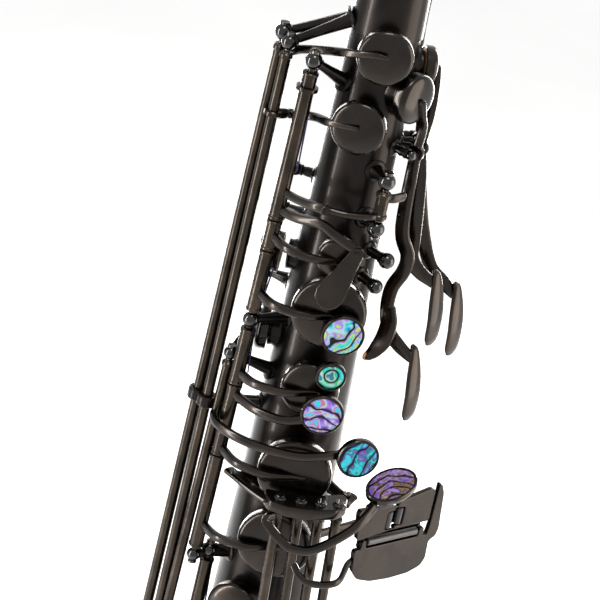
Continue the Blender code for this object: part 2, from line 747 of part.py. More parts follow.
# --- keys ------------------------------------------------------------------------------------------

# Each key: its hinge, the degrees between rest and its stop, and how it stands at rest.
KEYS = {
    "front_f_key": ("upper_stack", 4.5, "closed"),
    "small_c_key": ("upper_stack", 5.8, "open"),
    "b_key": ("upper_stack", 6.2, "open"),
    "bis_key": ("upper_stack", 5.5, "open"),
    "a_key": ("upper_stack", 5.8, "open"),
    "g_key": ("upper_stack", 5.8, "open"),
    "f_sharp_key": ("lower_stack", 7.0, "open"),
    "f_key": ("lower_stack", 7.0, "open"),
    "e_key": ("lower_stack", 7.1, "open"),
    "d_key": ("lower_stack", 7.4, "open"),
    "high_e_key": ("high_e", 4.2, "closed"),
    "side_c_key": ("side_c", 4.8, "closed"),
    "side_bb_key": ("side_bb", 7.0, "closed"),
    "c_sharp_vent_key": ("c_sharp_vent", 8.0, "open"),
    "palm_d_key": ("palm_d", 4.8, "closed"),
    "palm_eb_key": ("palm_eb", 4.8, "closed"),
    "palm_f_key": ("palm_f", 4.0, "closed"),
    "high_f_lever": ("high_f_lever", 4.5, "closed"),
    "g_sharp_key": ("g_sharp", 7.0, "closed"),
    "low_c_sharp_key": ("low_c_sharp", 5.0, "closed"),
    "low_b_key": ("low_b", 7.5, "open"),
    "low_bb_key": ("low_bb", 6.0, "open"),
    "low_eb_key": ("low_keys", 6.5, "closed"),
    "low_c_key": ("low_keys", 7.2, "open"),
    "octave_lever": ("octave_lever", 6.0, "closed"),
    "body_octave_key": ("body_octave", 5.0, "closed"),
    "neck_octave_key": ("neck_octave", 4.8, "closed"),
}


class Key:
    """One key: its pieces, the pearl set in it and the hinge it turns on."""

    def __init__(self, name):
        hinge_name, travel, stance = KEYS[name]
        self.name = name
        self.hinge = HINGES[hinge_name]
        self.pieces = []
        self.standing = []
        self.inlays = []
        self.grip = 0.8 * MM
        self.rest = self.hinge.turn(-travel if stance == "open" else 0.0)

    def barrel(self, low, high, radius=BARREL_RADIUS, bore=None, sides=10):
        """The tube or rod between two heights, in millimetres."""
        start = self.hinge.at(low)
        end = self.hinge.at(high)
        length = (end - start).length
        if bore is None:
            self.pieces.append(cone(start, end, radius, radius, sides))
        else:
            self.grip = (bore + radius) / 2
            outline = [(bore, 0), (radius, 0), (radius, length), (bore, length)]
            place = axes_matrix(start, end - start)
            self.pieces.append(turned(outline, sides, place, ring=True))

    def cup(self, hole):
        """The pad cup over a tone hole, with its pad."""
        height, angle, _radius, cup_radius, _rim = TONE_HOLES[hole]
        edge = cup_radius * MM
        base = seat_distance(hole) + GAP
        profile = [(0, base), (edge, base), (edge, base + 2.4 * MM),
                   (edge - 1.2 * MM, base + 3.6 * MM), (0, base + CUP_THICKNESS)]
        place = axes_matrix(Vector((0, 0, height * MM)), outward(angle))
        self.pieces.append(turned(profile, HOLE_SIDES, place))

    def cup_arm(self, hole, start_height, bulge=1.6, width=ARM_WIDTH, depth=ARM_DEPTH):
        """The curved arm from the barrel to the middle of the cup."""
        height, angle, _radius, _cup, _rim = TONE_HOLES[hole]
        root = self.hinge.at(start_height)
        root_radius = Vector((root.x, root.y)).length / MM
        root_angle = -outward(0).angle(Vector((root.x, root.y, 0))) * 180 / pi
        if root.x > 0:
            root_angle = -root_angle
        end_radius = (seat_distance(hole) + GAP + CUP_THICKNESS) / MM + 0.4
        points = []
        for share in (0.35, 0.7, 1.0):
            radius = root_radius + (end_radius - root_radius) * share + bulge * sin(pi * share)
            points.append(polar(radius, root_angle + (angle - root_angle) * share,
                                start_height + (height - start_height) * share))
        self.arm(points, start_height, width, depth)

    def arm(self, points, start_height, width=ARM_WIDTH, depth=ARM_DEPTH, facing=None,
            standing=False):
        """A smooth bar from the barrel's wall through the points.

        With standing the points are where they are with the key at rest, not with its cup closed.
        """
        root = self.hinge.at(start_height)
        toward = points[0] - root
        toward.z = 0
        start = root + toward.normalized() * self.grip
        pieces = self.standing if standing else self.pieces
        pieces.append(bar(smooth_path([start] + points, 2), width, depth, facing))

    def pearl_holder(self, pearl_name, place, radius=PEARL_RADIUS, stem=0.0):
        """A touch with a recess for its pearl, on a stem when it stands off."""
        rim = radius + 0.7 * MM
        profile = [(0, 0), (rim, 0), (rim, 2.6 * MM), (radius + GAP, 2.6 * MM),
                   (radius + GAP, 1.3 * MM), (0, 1.3 * MM)]
        self.pieces.append(turned(profile, PEARL_SIDES, place))
        if stem:
            foot = place @ Vector((0, 0, -stem))
            self.pieces.append(cone(foot, place @ Vector((0, 0, 0.6 * MM)), 2.4 * MM, 2.8 * MM, 6))
        low = 1.3 * MM + GAP
        disc = turned([(0, low), (radius, low), (radius, 2.7 * MM), (0, 3.1 * MM)],
                      PEARL_SIDES, place)
        self.inlays.append((pearl_name, disc))

    def build(self):
        """Join the pieces, swing the key to rest and put it and its pearls in the scene."""
        for piece in self.standing:
            piece.transform(self.rest.inverted())
        solid = union(self.pieces + self.standing)
        solid.transform(self.rest)
        node(self.name, solid, "key_lacquer", self.hinge.lower)
        for name, disc in self.inlays:
            disc.transform(self.rest)
            node(name, disc, "pearl", self.hinge.lower)


def stack_key(name, low, high, hole, arm_height):
    """A key of one of the two stacks: a bored barrel, an arm and a cup."""
    key = Key(name)
    key.barrel(low, high, bore=BARREL_BORE)
    key.cup(hole)
    key.cup_arm(hole, arm_height)
    return key


def finger_place(radius, angle, height):
    """The place of a finger touch that faces away from the bore."""
    return axes_matrix(polar(radius, angle, height), outward(angle))


def make_upper_stack():
    """The keys on the upper stack's rod, from the top down."""
    front_f = Key("front_f_key")
    front_f.barrel(470.2, 511.8, bore=BARREL_BORE)
    front_f.arm([mm(-12, -16.5, 473.4), mm(-5, -20.4, 474.6), mm(2.2, -22.2, 472.4),
                 mm(5.4, -22.6, 469.4)], 472.9, 2.6 * MM, 2.0 * MM)
    drop = [polar(23.4, 12, 470.5), polar(23.7, 10.5, 467), polar(24.0, 6, 460.5),
            polar(24.1, 3.5, 456.6), polar(24.1, 2.5, 454.6)]
    front_f.pieces.append(bar(drop, [3.0 * MM, 3.8 * MM, 6.2 * MM, 6.6 * MM, 3.4 * MM], 1.6 * MM))
    front_f.arm([mm(-13, -16.4, 478.6), mm(-8.5, -20.6, 479.6), mm(-5.0, -22.2, 479.8)], 478.2,
                2.2 * MM, 1.8 * MM)
    front_f.build()

    stack_key("small_c_key", 461.2, 469.8, "small_c", 465.2).build()

    b_key = stack_key("b_key", 442.8, 460.8, "b", 448.2)
    b_key.pearl_holder("pearl_b", finger_place(19.6, 19, 446.2), stem=2.2 * MM)
    b_key.build()

    bis = stack_key("bis_key", 420.2, 437.2, "bis", 423.6)
    bis.pearl_holder("pearl_bis", finger_place(19.4, 17, 433.4), SMALL_PEARL_RADIUS, 2.0 * MM)
    bis.build()

    a_key = stack_key("a_key", 397.6, 419.8, "a", 399.6)
    a_key.arm([mm(-12, -18.3, 417), mm(-4, -21.2, 417.6), mm(3.2, -21.0, 420)], 416.9)
    a_key.pearl_holder("pearl_a", finger_place(21.4, 16, 422.9))
    a_key.build()

    g_key = stack_key("g_key", 367.0, 397.2, "g", 374.4)
    g_key.arm([mm(-22.9, -15.6, 396.6), mm(-22.6, -16.4, 403.5), mm(-19.0, -19.0, 408.3),
               mm(-10, -22.6, 408.8), mm(0, -23.8, 409.2), mm(8, -21.0, 409.8),
               mm(13.4, -17.6, 410)], 394.6, 2.0 * MM, 1.8 * MM)
    g_key.pearl_holder("pearl_g", axes_matrix(mm(17.4, -16.2, 410.4), outward(24)))
    g_key.build()


def make_lower_stack():
    """The keys on the lower stack's rod, from the top down."""
    stack_key("f_sharp_key", 317.9, 361.8, "f_sharp", 322.0).build()
    spans = {"f": (287.5, 317.5), "e": (254.3, 281.5), "d": (215.4, 253.9)}
    for note, (low, high) in spans.items():
        height = TONE_HOLES[note][0]
        key = stack_key(note + "_key", low, high, note, height - 2)
        top = (seat_distance(note) + CUP_THICKNESS) / MM
        key.pearl_holder("pearl_" + note, finger_place(top + 1.6, -5, height + 6), stem=2.0 * MM)
        key.build()


def make_side_keys():
    """The right hand's side keys, each with a long rod, and the vent key behind them."""
    high_e = Key("high_e_key")
    high_e.barrel(234.7, 515.0, SIDE_ROD_RADIUS)
    high_e.cup("high_e")
    high_e.arm([mm(-21, -3.6, 514.2), mm(-14, -6.9, 516.6), mm(-8.5, -12.6, 519.2),
                mm(-2, -16.2, 521.2), mm(1.5, -16.7, 521.6)], 512.6)
    high_e.arm([mm(-37.2, -2, 249), mm(-37.4, 3, 249)], 249, 4 * MM, 1.6 * MM, facing=(1, 0, 0))
    high_e.pieces.append(side_touch(-37.6, 5.0, 249.0))
    high_e.build()

    side_c = Key("side_c_key")
    side_c.barrel(256.7, 514.2, SIDE_ROD_RADIUS)
    side_c.cup("side_c")
    side_c.arm([mm(-18.6, -5.4, 497.4), mm(-13.4, -7.6, 498.6), mm(-9.2, -13.0, 500),
                mm(-2.0, -16.6, 501.4)], 497.0)
    side_c.arm([mm(-31.0, -5, 272), mm(-31.4, 1, 272)], 272, 4 * MM, 1.6 * MM, facing=(1, 0, 0))
    side_c.pieces.append(side_touch(-31.6, 3.6, 272.0))
    side_c.build()

    side_bb = Key("side_bb_key")
    side_bb.barrel(287.2, 425.2, 1.4 * MM)
    side_bb.cup("side_bb")
    side_bb.arm([mm(-22.8, -5.2, 423.5), mm(-21.4, -2.6, 428), mm(-18.2, -1.2, 433.2)], 421.0,
                1.8 * MM)
    side_bb.arm([mm(-28.0, -18, 300), mm(-28.2, -21, 300)], 300, 4 * MM, 1.6 * MM,
                facing=(1, 0, 0))
    side_bb.pieces.append(side_touch(-28.4, -23.4, 300.0))
    side_bb.build()

    vent = Key("c_sharp_vent_key")
    vent.barrel(448.4, 463.6, 1.6 * MM)
    vent.cup("c_sharp_vent")
    vent.arm([mm(-19.4, 3, 456.4), mm(-17.4, -1.2, 456.2)], 456.6)
    vent.build()


def side_touch(x, y, height):
    """A long touch that faces away from the bore at the side."""
    place = Matrix.Translation(mm(x, y, height)) @ Matrix.Rotation(radians(90), 4, "Y")
    return plate(stadium(23.0, 7.6), 1.8 * MM, place)


def make_palm_key(name, hole, bar_path, touch_path, touch_angle):
    """A palm key: a pivot plate across the bore, a bar up to the cup and a lever down to the touch.

    The bar's path is (radius, angle, height) and the lever's is (radius, height) in millimetres.
    """
    angle = PALM_ANGLES[hole]
    across = sideways(angle)
    key = Key(name)
    key.pieces.append(cone(key.hinge.lower, key.hinge.upper, 2.3 * MM, 2.3 * MM, 12))
    key.cup(hole)
    height, hole_angle, _radius, _cup, _rim = TONE_HOLES[hole]
    top = (seat_distance(hole) + GAP + CUP_THICKNESS) / MM + 0.3
    upper = [polar(PALM_PIVOT_RADIUS, angle, PALM_PIVOT_HEIGHT)]
    upper += [polar(*point) for point in bar_path]
    upper.append(polar(top, hole_angle, height))
    key.pieces.append(bar(upper, 2.6 * MM, 1.3 * MM, facing=across))
    steps = len(touch_path)
    lever = [polar(radius, angle + (touch_angle - angle) * step / steps, z)
             for step, (radius, z) in enumerate(touch_path)]
    key.pieces.append(bar(lever, 2.8 * MM, 1.3 * MM, facing=across))
    reach, z = touch_path[-1]
    touch = [polar(reach - 0.4, touch_angle, z + 3.4), polar(reach + 1.0, touch_angle, z - 1),
             polar(reach + 1.8, touch_angle, z - 7), polar(reach + 1.7, touch_angle, z - 13),
             polar(reach + 0.9, touch_angle, z - 18)]
    key.pieces.append(bar(touch, [4 * MM, 7.4 * MM, 8.4 * MM, 7.6 * MM, 4 * MM], 1.6 * MM))
    key.build()


def make_palm_keys():
    """The left palm's three keys."""
    make_palm_key("palm_d_key", "palm_d", [(15.8, 68, 501), (15.8, 60, 505)],
                  [(15.4, 494), (16.5, 472.9), (19.7, 465.7), (19.6, 460.9), (16.9, 455.1),
                   (16.9, 449), (19.3, 443.1), (23.1, 439.7), (27.6, 437.4)], 69.5)
    make_palm_key("palm_eb_key", "palm_eb", [(16.0, 89, 503), (15.8, 96, 510)],
                  [(15.4, 494), (17.2, 484), (19.2, 468), (19.8, 462.8), (22.6, 459.3),
                   (27.4, 456.8)], 86.5)
    make_palm_key("palm_f_key", "palm_f", [(15.6, 117, 500), (15.4, 133, 507), (15.0, 141, 516),
                                           (14.8, 143, 530)],
                  [(15.4, 494), (17.6, 484), (21.5, 470), (26, 459), (30.5, 454.6),
                   (34.4, 451.4)], 99.0)


def make_high_f_lever():
    """The short lever that lets the front F touch open the palm F key."""
    key = Key("high_f_lever")
    key.barrel(477.4, 485.3, 1.7 * MM)
    key.arm([mm(6, -17.6, 478.6), mm(0, -19.4, 478.6), mm(-5.4, -19.6, 478.9)], 478.6,
            1.6 * MM, 1.6 * MM)
    key.arm([mm(11.4, -13.4, 483.4), mm(13.6, -10.8, 483.4)], 483.4, 2.4 * MM, 1.6 * MM)
    key.build()


# --- the left little finger's table ------------------------------------------------------------------

TABLE_ANGLE = 41.0
TABLE_DISTANCE = 28.2
PLATE_THICKNESS = 1.6 * MM


def table_point(along, height, distance=TABLE_DISTANCE):
    """A point by its place along the table's face, its height and its distance to the bore."""
    base = outward(TABLE_ANGLE) * distance + sideways(TABLE_ANGLE) * along
    return (base + Vector((0, 0, height))) * MM


def table_place():
    """Frame of the touches' face: X along the table, Y up, Z away from the bore."""
    normal = outward(TABLE_ANGLE)
    along = sideways(TABLE_ANGLE)
    rotation = Matrix((along, Vector((0, 0, 1)), normal)).transposed().to_4x4()
    return Matrix.Translation(normal * TABLE_DISTANCE * MM) @ rotation


def make_bracket():
    """The plate that carries the upper pivots of the four table keys."""
    rim = ((25.4, -42), (25.8, -33), (26.0, -20), (26.6, -11), (29.6, -6), (30.6, 4), (30.6, 17),
           (30.6, 29), (29.4, 36), (26.2, 42), (25.0, 49), (22.9, 49), (22.9, 36), (22.9, 22),
           (22.9, 8), (22.9, -6), (22.9, -20), (22.9, -34), (22.9, -43))
    outline = [(radius * sin(radians(angle)), -radius * cos(radians(angle))) for radius, angle in rim]
    slab = plate(outline, 3.2 * MM, Matrix.Translation(mm(0, 0, 394.6)))
    node("table_bracket", slab, "key_lacquer")


TABLE_ROLLERS = (
    # name, key, ends in (along, height), radius
    ("c_sharp_roller", (15.2, 384.9), (15.2, 390.5), 1.0),
    ("low_b_roller", (18.7, 385.7), (18.7, 391.1), 1.0),
    ("low_bb_roller", (9.0, 381.5), (27.0, 381.5), 1.15),
)


def make_roller(name, start, end, radius):
    """A roller between two points."""
    node(name, cone(start, end, radius, radius), "roller_black", start)


def make_table_keys():
    """G sharp, low C sharp, low B and low B flat keys with their long rods."""
    g_sharp = Key("g_sharp_key")
    g_sharp.barrel(340.8, 392.6, 1.4 * MM)
    g_sharp.cup("g_sharp")
    g_sharp.arm([mm(-2.6, -24.6, 351.4), mm(-7.6, -19.0, 351.1)], 352.0, 2.2 * MM, 2.0 * MM)
    g_sharp.arm([mm(1.0, -30.0, 388.2), mm(4.6, -31.4, 386.0), mm(10.5, -31.4, 385.8),
                 mm(17.4, -30.0, 389.4), mm(21.6, -27.0, 394.4), mm(24.6, -21.4, 396.6)], 389.0,
                2.0 * MM, 2.0 * MM, facing=(0.25, -1, 0))
    normal = Vector((-0.12, -0.30, 0.95))
    place = axes_matrix(mm(28.6, -14.8, 399.0), normal, Vector((-0.66, 0.75, 0)))
    stretch = place @ Matrix.Diagonal((1.35, 0.92, 1.0, 1.0))
    g_sharp.pearl_holder("pearl_g_sharp", stretch, 5.2 * MM)
    g_sharp.pieces.append(bar([mm(23.4, -22.0, 396.2), mm(28.4, -15.0, 399.3)], 2.0 * MM, 1.6 * MM,
                              facing=(0, 0, 1)))
    g_sharp.build()

    face = table_place()
    c_sharp = Key("low_c_sharp_key")
    c_sharp.barrel(116.7, 392.6, 1.4 * MM)
    c_sharp.cup("low_c_sharp")
    c_sharp.arm([mm(22, -21.2, 121.2), mm(16.6, -24.2, 122), mm(11.2, -27.4, 123),
                 mm(0.5, -27.0, 124)], 120.6)
    plate_1 = [(3.6, 393.2), (3.2, 392), (4.6, 383.6), (5.2, 383.2), (16.5, 384.4), (16.5, 384.6),
               (13.9, 384.6), (13.9, 390.8), (16.5, 390.8), (16.3, 392.3)]
    c_sharp.pieces.append(plate(plate_1, PLATE_THICKNESS, face))
    c_sharp.arm([table_point(0.5, 388.0), table_point(5.0, 388.0)], 388.0, 3.0 * MM, 1.4 * MM)
    c_sharp.build()

    low_b = Key("low_b_key")
    low_b.barrel(80.7, 392.6, 1.4 * MM)
    low_b.cup("low_b")
    low_b.cup_arm("low_b", 84.5, 2.4, 2.6 * MM, 2.4 * MM)
    plate_2 = [(17.1, 393.4), (28.8, 395.6), (30.2, 394.8), (30.4, 385.0), (29.8, 384.4),
               (17.3, 384.2), (17.3, 385.4), (20.0, 385.4), (20.0, 391.4), (17.1, 391.4)]
    low_b.arm([table_point(-5.5, 384.6, 24.2), table_point(4, 385.0, 24.0),
               table_point(16, 386.0, 24.4), table_point(20, 386.6, 26.4),
               table_point(23, 387.0, 27.8)], 384.6, 2.6 * MM, 1.4 * MM, standing=True)
    low_b.standing.append(plate(plate_2, PLATE_THICKNESS, face))
    low_b.build()

    low_bb = Key("low_bb_key")
    low_bb.barrel(48.7, 392.6, 1.4 * MM)
    low_bb.cup("low_bb")
    low_bb.cup_arm("low_bb", 52.5, 2.4, 2.6 * MM, 2.4 * MM)
    plate_3 = [(4.6, 379.8), (5.4, 373.0), (8.0, 369.4), (13.0, 367.6), (20.0, 367.0),
               (27.0, 367.3), (31.4, 368.8), (32.8, 371.2), (32.4, 377.2), (34.6, 378.4),
               (35.2, 381.0), (33.8, 393.0), (32.4, 396.2), (31.2, 396.6), (31.2, 383.0),
               (30.8, 379.8), (29.4, 379.8), (29.4, 382.6), (27.5, 382.6), (27.5, 379.8),
               (8.5, 379.8), (8.5, 382.4), (6.8, 382.4), (6.8, 379.8)]
    low_bb.arm([mm(9.0, -28.8, 374.4), mm(13.0, -29.4, 373.2), mm(19.4, -27.2, 374.0),
                table_point(4.2, 375.4), table_point(8.5, 375.8)], 376.8, 2.0 * MM, 1.4 * MM,
               facing=(0.2, -1, 0), standing=True)
    low_bb.standing.append(plate(plate_3, PLATE_THICKNESS, face))
    low_bb.build()

    for name, start, end, radius in TABLE_ROLLERS:
        make_roller(name, table_point(*start), table_point(*end), radius * MM)


# --- the right little finger's keys --------------------------------------------------------------------

LOW_TOUCH_ANGLE = -27.0
LOW_TOUCH_DISTANCE = 29.0
LOW_TOUCH_WIDTH = 13.0


def low_touch_place(height):
    """Frame of a low touch's face: X across, Y up, Z away from the bore."""
    normal = outward(LOW_TOUCH_ANGLE)
    rotation = Matrix((sideways(LOW_TOUCH_ANGLE), Vector((0, 0, 1)), normal)).transposed()
    return Matrix.Translation(normal * LOW_TOUCH_DISTANCE * MM + Vector((0, 0, height * MM))) \
        @ rotation.to_4x4()


def make_low_keys():
    """Low E flat and low C keys with the rollers between their touches."""
    half = LOW_TOUCH_WIDTH / 2
    eb = Key("low_eb_key")
    eb.barrel(177.2, 203.8, 1.6 * MM)
    eb.cup("low_eb")
    eb.arm([mm(-27.4, -11, 190.4), mm(-28.0, -4, 191.6), mm(-25.2, 3.4, 193.0)], 189.6)
    tongue = [(-half, -5.0), (-half + 1.6, -5.0), (-half + 1.6, -2.9), (half - 1.6, -2.9),
              (half - 1.6, -5.0), (half, -5.0), (half, 3.0), (half - 3, 6.5), (-half + 3, 6.5),
              (-half, 3.0)]
    eb.pieces.append(plate(tongue, 1.8 * MM, low_touch_place(200.0)))
    eb.arm([mm(-20.5, -21.0, 200), mm(-15.8, -25.2, 200.4)], 200.0, 3 * MM, 1.4 * MM)
    eb.build()

    low_c = Key("low_c_key")
    low_c.barrel(146.7, 176.8, 1.6 * MM)
    low_c.cup("low_c")
    low_c.cup_arm("low_c", 160.0, 2.4, 2.6 * MM, 2.4 * MM)
    paddle = [(-half, 5.0), (-half + 1.6, 5.0), (-half + 1.6, 2.9), (half - 1.6, 2.9),
              (half - 1.6, 5.0), (half, 5.0), (half, -4.0), (half - 3, -8.0), (-half + 3, -8.0),
              (-half, -4.0)]
    low_c.pieces.append(plate(paddle, 1.8 * MM, low_touch_place(187.6)))
    low_c.arm([mm(-21.5, -21.8, 174), mm(-17.5, -25.2, 178.6), mm(-15.4, -25.6, 183.4)], 173.0,
              3 * MM, 1.4 * MM)
    swung = Key("low_c_key").rest
    low_c.build()

    reach = LOW_TOUCH_WIDTH / 2 - 1.9
    for name, height, rest in (("low_eb_roller", 200.0 - 4.3, Matrix.Identity(4)),
                               ("low_c_roller", 187.6 + 4.3, swung)):
        place = rest @ low_touch_place(height)
        make_roller(name, place @ mm(-reach, 0, 0), place @ mm(reach, 0, 0), 1.1 * MM)


# --- the octave mechanism ----------------------------------------------------------------------------

def make_octave_keys():
    """The thumb's octave lever and the two vent keys at the back."""
    across = (1, 0, 0)
    lever = Key("octave_lever")
    y, z = OCTAVE_PIVOT[1], OCTAVE_PIVOT[2]
    lever.pieces.append(cone(lever.hinge.lower, lever.hinge.upper, 1.9 * MM, 1.9 * MM, 12))
    lever.pieces.append(bar([mm(0, y + 2.2, z + 15), mm(0, y + 0.6, z + 7), mm(0, y, z),
                             mm(0, y + 0.6, z - 8), mm(0, y + 2.6, z - 17)],
                            1.8 * MM, 3.0 * MM, facing=across))
    lever.pieces.append(bar([mm(0, y + 1.4, z - 14), mm(0, y + 2.8, z - 18), mm(0, y + 3.2, z - 26),
                             mm(0, y + 2.4, z - 34)],
                            [6 * MM, 11 * MM, 12 * MM, 7 * MM], 1.8 * MM, facing=(0, 1, 0)))
    lever.build()

    for name, pivot, height, seat, tail in (
            ("body_octave_key", BODY_OCTAVE_PIVOT, BODY_PIP, skin_radius(BODY_PIP * MM) + 2.3 * MM, 9),
            ("neck_octave_key", NECK_OCTAVE_PIVOT, NECK_PIP, 9.3 * MM, 12)):
        key = Key(name)
        y, z = pivot[1], pivot[2]
        key.pieces.append(cone(key.hinge.lower, key.hinge.upper, 1.6 * MM, 1.6 * MM, 12))
        key.pieces.append(bar([mm(0, y + 2.0, z - tail), mm(0, y + 0.5, z - tail / 2), mm(0, y, z),
                               mm(0, y + 1.0, (z + height) / 2), mm(0, seat / MM + 1.7, height)],
                              1.6 * MM, 2.6 * MM, facing=across))
        profile = [(0, 0), (2.9 * MM, 0), (2.9 * MM, 1.4 * MM), (2.2 * MM, 2.0 * MM), (0, 2.1 * MM)]
        place = axes_matrix(Vector((0, seat + 0.1 * MM, height * MM)), Vector((0, 1, 0)))
        key.pieces.append(turned(profile, 14, place))
        key.build()


def build():
    """Make every sub-part."""
    for item in list(bpy.data.objects):
        bpy.data.objects.remove(item)
    make_body()
    make_bell()
    make_bell_ring()
    make_neck()
    make_neck_screw()
    make_neck_cork()
    make_mouthpiece()
    make_reed()
    make_ligature()
    make_ligature_screw("ligature_screw_upper", 656.5)
    make_ligature_screw("ligature_screw_lower", 649.5)
    make_thumb_hook()
    make_thumb_rest()
    make_strap_ring()
    make_bracket()
    make_hinge_rod("upper_stack_rod", "upper_stack")
    make_hinge_rod("lower_stack_rod", "lower_stack")
    make_upper_stack()
    make_lower_stack()
    make_side_keys()
    make_palm_keys()
    make_high_f_lever()
    make_table_keys()
    make_low_keys()
    make_octave_keys()


build()
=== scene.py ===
"""Soprano saxophone: the finished look of every piece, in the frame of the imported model.

Lengths are in millimetres where a name or a table says so, and metres in the scene. The bore runs
up +Z from the bell rim, the fingers work from -Y and the palm keys are on +X.
"""
import bpy
import bmesh
import json
from collections import namedtuple
from math import cos, exp, pi, radians, sin
from mathutils import Matrix, Vector


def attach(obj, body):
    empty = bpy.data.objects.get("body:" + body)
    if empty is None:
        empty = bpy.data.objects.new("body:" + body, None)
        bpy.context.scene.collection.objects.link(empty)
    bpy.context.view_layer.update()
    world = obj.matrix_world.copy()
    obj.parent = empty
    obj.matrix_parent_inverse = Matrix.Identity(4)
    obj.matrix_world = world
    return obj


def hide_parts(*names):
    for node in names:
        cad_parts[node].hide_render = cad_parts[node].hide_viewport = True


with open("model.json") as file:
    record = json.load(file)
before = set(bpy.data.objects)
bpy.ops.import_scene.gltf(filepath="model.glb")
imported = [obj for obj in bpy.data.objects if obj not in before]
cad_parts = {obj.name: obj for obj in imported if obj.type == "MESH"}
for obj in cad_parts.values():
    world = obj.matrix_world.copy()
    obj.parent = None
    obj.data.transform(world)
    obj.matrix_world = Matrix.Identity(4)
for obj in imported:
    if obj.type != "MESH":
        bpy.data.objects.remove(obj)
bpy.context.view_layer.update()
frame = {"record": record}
BODY_OF = {node: body for body, nodes in frame["record"]["behaviour"]["bodies"].items()
           for node in nodes}

MM = 0.001

# Driving dimensions, the same as the frame's.
REFERENCE_HEIGHT = 442.8 * MM
REFERENCE_RADIUS = 11.56 * MM
TAPER = 0.028
WALL = 0.7 * MM
BELL_TOP = 104 * MM
BODY_TOP = 566 * MM
NECK_TOP = 640 * MM
FLARE = 23.6 * MM
FLARE_LENGTH = 24 * MM
SLEEVE_START = 523 * MM
SLEEVE_STEP = 0.43 * MM
RIM_RADIUS = 47.6 * MM
GAP = 0.3 * MM
CHIMNEY_WALL = 0.8 * MM
CUP_THICKNESS = 4.0 * MM
ROD_RADIUS = 1.0 * MM
SIDE_ROD_RADIUS = 1.5 * MM
PEARL_RADIUS = 5.1 * MM
SMALL_PEARL_RADIUS = 3.4 * MM
THIN_ROD_RADIUS = 1.4 * MM
STOUT_ROD_RADIUS = 1.6 * MM

UP = Vector((0, 0, 1))
BACK = Vector((0, 1, 0))
RIGHT = Vector((1, 0, 0))

# All in millimetres but the angle; the rim is the chimney's height above the tube.
ToneHole = namedtuple("ToneHole", "height angle radius cup rim")
TONE_HOLES = {
    "palm_f": ToneHole(541.0, 140, 3.4, 5.4, 1.8),
    "high_e": ToneHole(520.2, 5, 4.4, 7.3, 1.8),
    "palm_eb": ToneHole(515.0, 103, 3.6, 5.4, 1.4),
    "palm_d": ToneHole(509.4, 53, 4.2, 6.8, 1.8),
    "side_c": ToneHole(500.4, -7, 4.4, 7.2, 1.8),
    "small_c": ToneHole(464.8, 3, 3.4, 5.6, 1.8),
    "c_sharp_vent": ToneHole(456.2, -86, 3.2, 5.6, 1.8),
    "b": ToneHole(449.0, 6, 6.8, 10.1, 1.8),
    "side_bb": ToneHole(433.2, -86, 3.8, 6.2, 1.8),
    "bis": ToneHole(426.0, 4, 5.2, 7.9, 1.8),
    "a": ToneHole(400.0, 7, 7.0, 10.3, 1.8),
    "g": ToneHole(377.2, 3, 7.2, 10.5, 1.8),
    "g_sharp": ToneHole(351.1, -22, 6.0, 8.5, 1.8),
    "f_sharp": ToneHole(324.0, -4, 7.8, 10.8, 1.8),
    "f": ToneHole(294.0, -4, 8.2, 11.2, 1.8),
    "e": ToneHole(263.0, -4, 8.6, 11.6, 1.8),
    "d": ToneHole(229.0, -4, 9.0, 12.2, 1.8),
    "low_eb": ToneHole(193.0, -98, 9.0, 11.8, 1.8),
    "low_c": ToneHole(158.0, -4, 10.0, 13.0, 1.8),
    "low_c_sharp": ToneHole(124.0, 0, 8.4, 11.4, 1.8),
    "low_b": ToneHole(81.5, 84, 10.8, 13.6, 2.2),
    "low_bb": ToneHole(48.0, 84, 11.6, 14.6, 4.0),
}
BELL_HOLES = ("low_b", "low_bb")


# --- places ---------------------------------------------------------------------------------------

def mm(x, y, z):
    """A point given in millimetres."""
    return Vector((x, y, z)) * MM


def outward(angle):
    """Unit vector away from the bore at this angle from the front, in degrees."""
    return Vector((sin(radians(angle)), -cos(radians(angle)), 0.0))


def sideways(angle):
    """Unit vector round the bore at this angle, towards larger angles."""
    return Vector((cos(radians(angle)), sin(radians(angle)), 0.0))


def polar(radius, angle, height):
    """A point in millimetres from its distance to the bore, its angle and its height."""
    return (outward(angle) * radius + Vector((0, 0, height))) * MM


def tube_radius(height):
    """Outer radius of the conical body tube."""
    return REFERENCE_RADIUS - TAPER * (height - REFERENCE_HEIGHT)


def bell_radius(height):
    """Outer radius of the flaring bell."""
    return tube_radius(height) + FLARE * exp(-height / FLARE_LENGTH)


def skin_radius(height):
    """Outer radius of whatever wall is at this height."""
    if height < BELL_TOP:
        return bell_radius(height)
    return tube_radius(height) + (SLEEVE_STEP if height > SLEEVE_START else 0.0)


def radial(point):
    """Unit vector away from the bore through a point."""
    return Vector((point.x, point.y, 0)).normalized()


def axes_matrix(origin, direction, up=UP):
    """A frame at origin with its Z along direction and its Y towards up."""
    z = direction.normalized()
    x = up.cross(z)
    if x.length < 1e-4:
        x = RIGHT - z * z.x
    x.normalize()
    rotation = Matrix((x, z.cross(x), z)).transposed().to_4x4()
    return Matrix.Translation(origin) @ rotation


def facing_out(radius, angle, height):
    """A frame looking away from the bore: X sideways, Y up. The place is in millimetres."""
    return axes_matrix(polar(radius, angle, height), outward(angle))


class Hinge:
    """A straight pivot line. A key's positive turn about it is the way the finger drives it."""

    def __init__(self, lower, upper):
        self.lower = lower
        self.upper = upper
        self.axis = (upper - lower).normalized()

    def at(self, height):
        """The point of the line at this height, in millimetres."""
        share = (height * MM - self.lower.z) / (self.upper.z - self.lower.z)
        return self.lower.lerp(self.upper, share)

    def turn(self, angle):
        """Rotation about the line, in degrees."""
        shift = Matrix.Translation(self.lower)
        return shift @ Matrix.Rotation(radians(angle), 4, self.axis) @ shift.inverted()


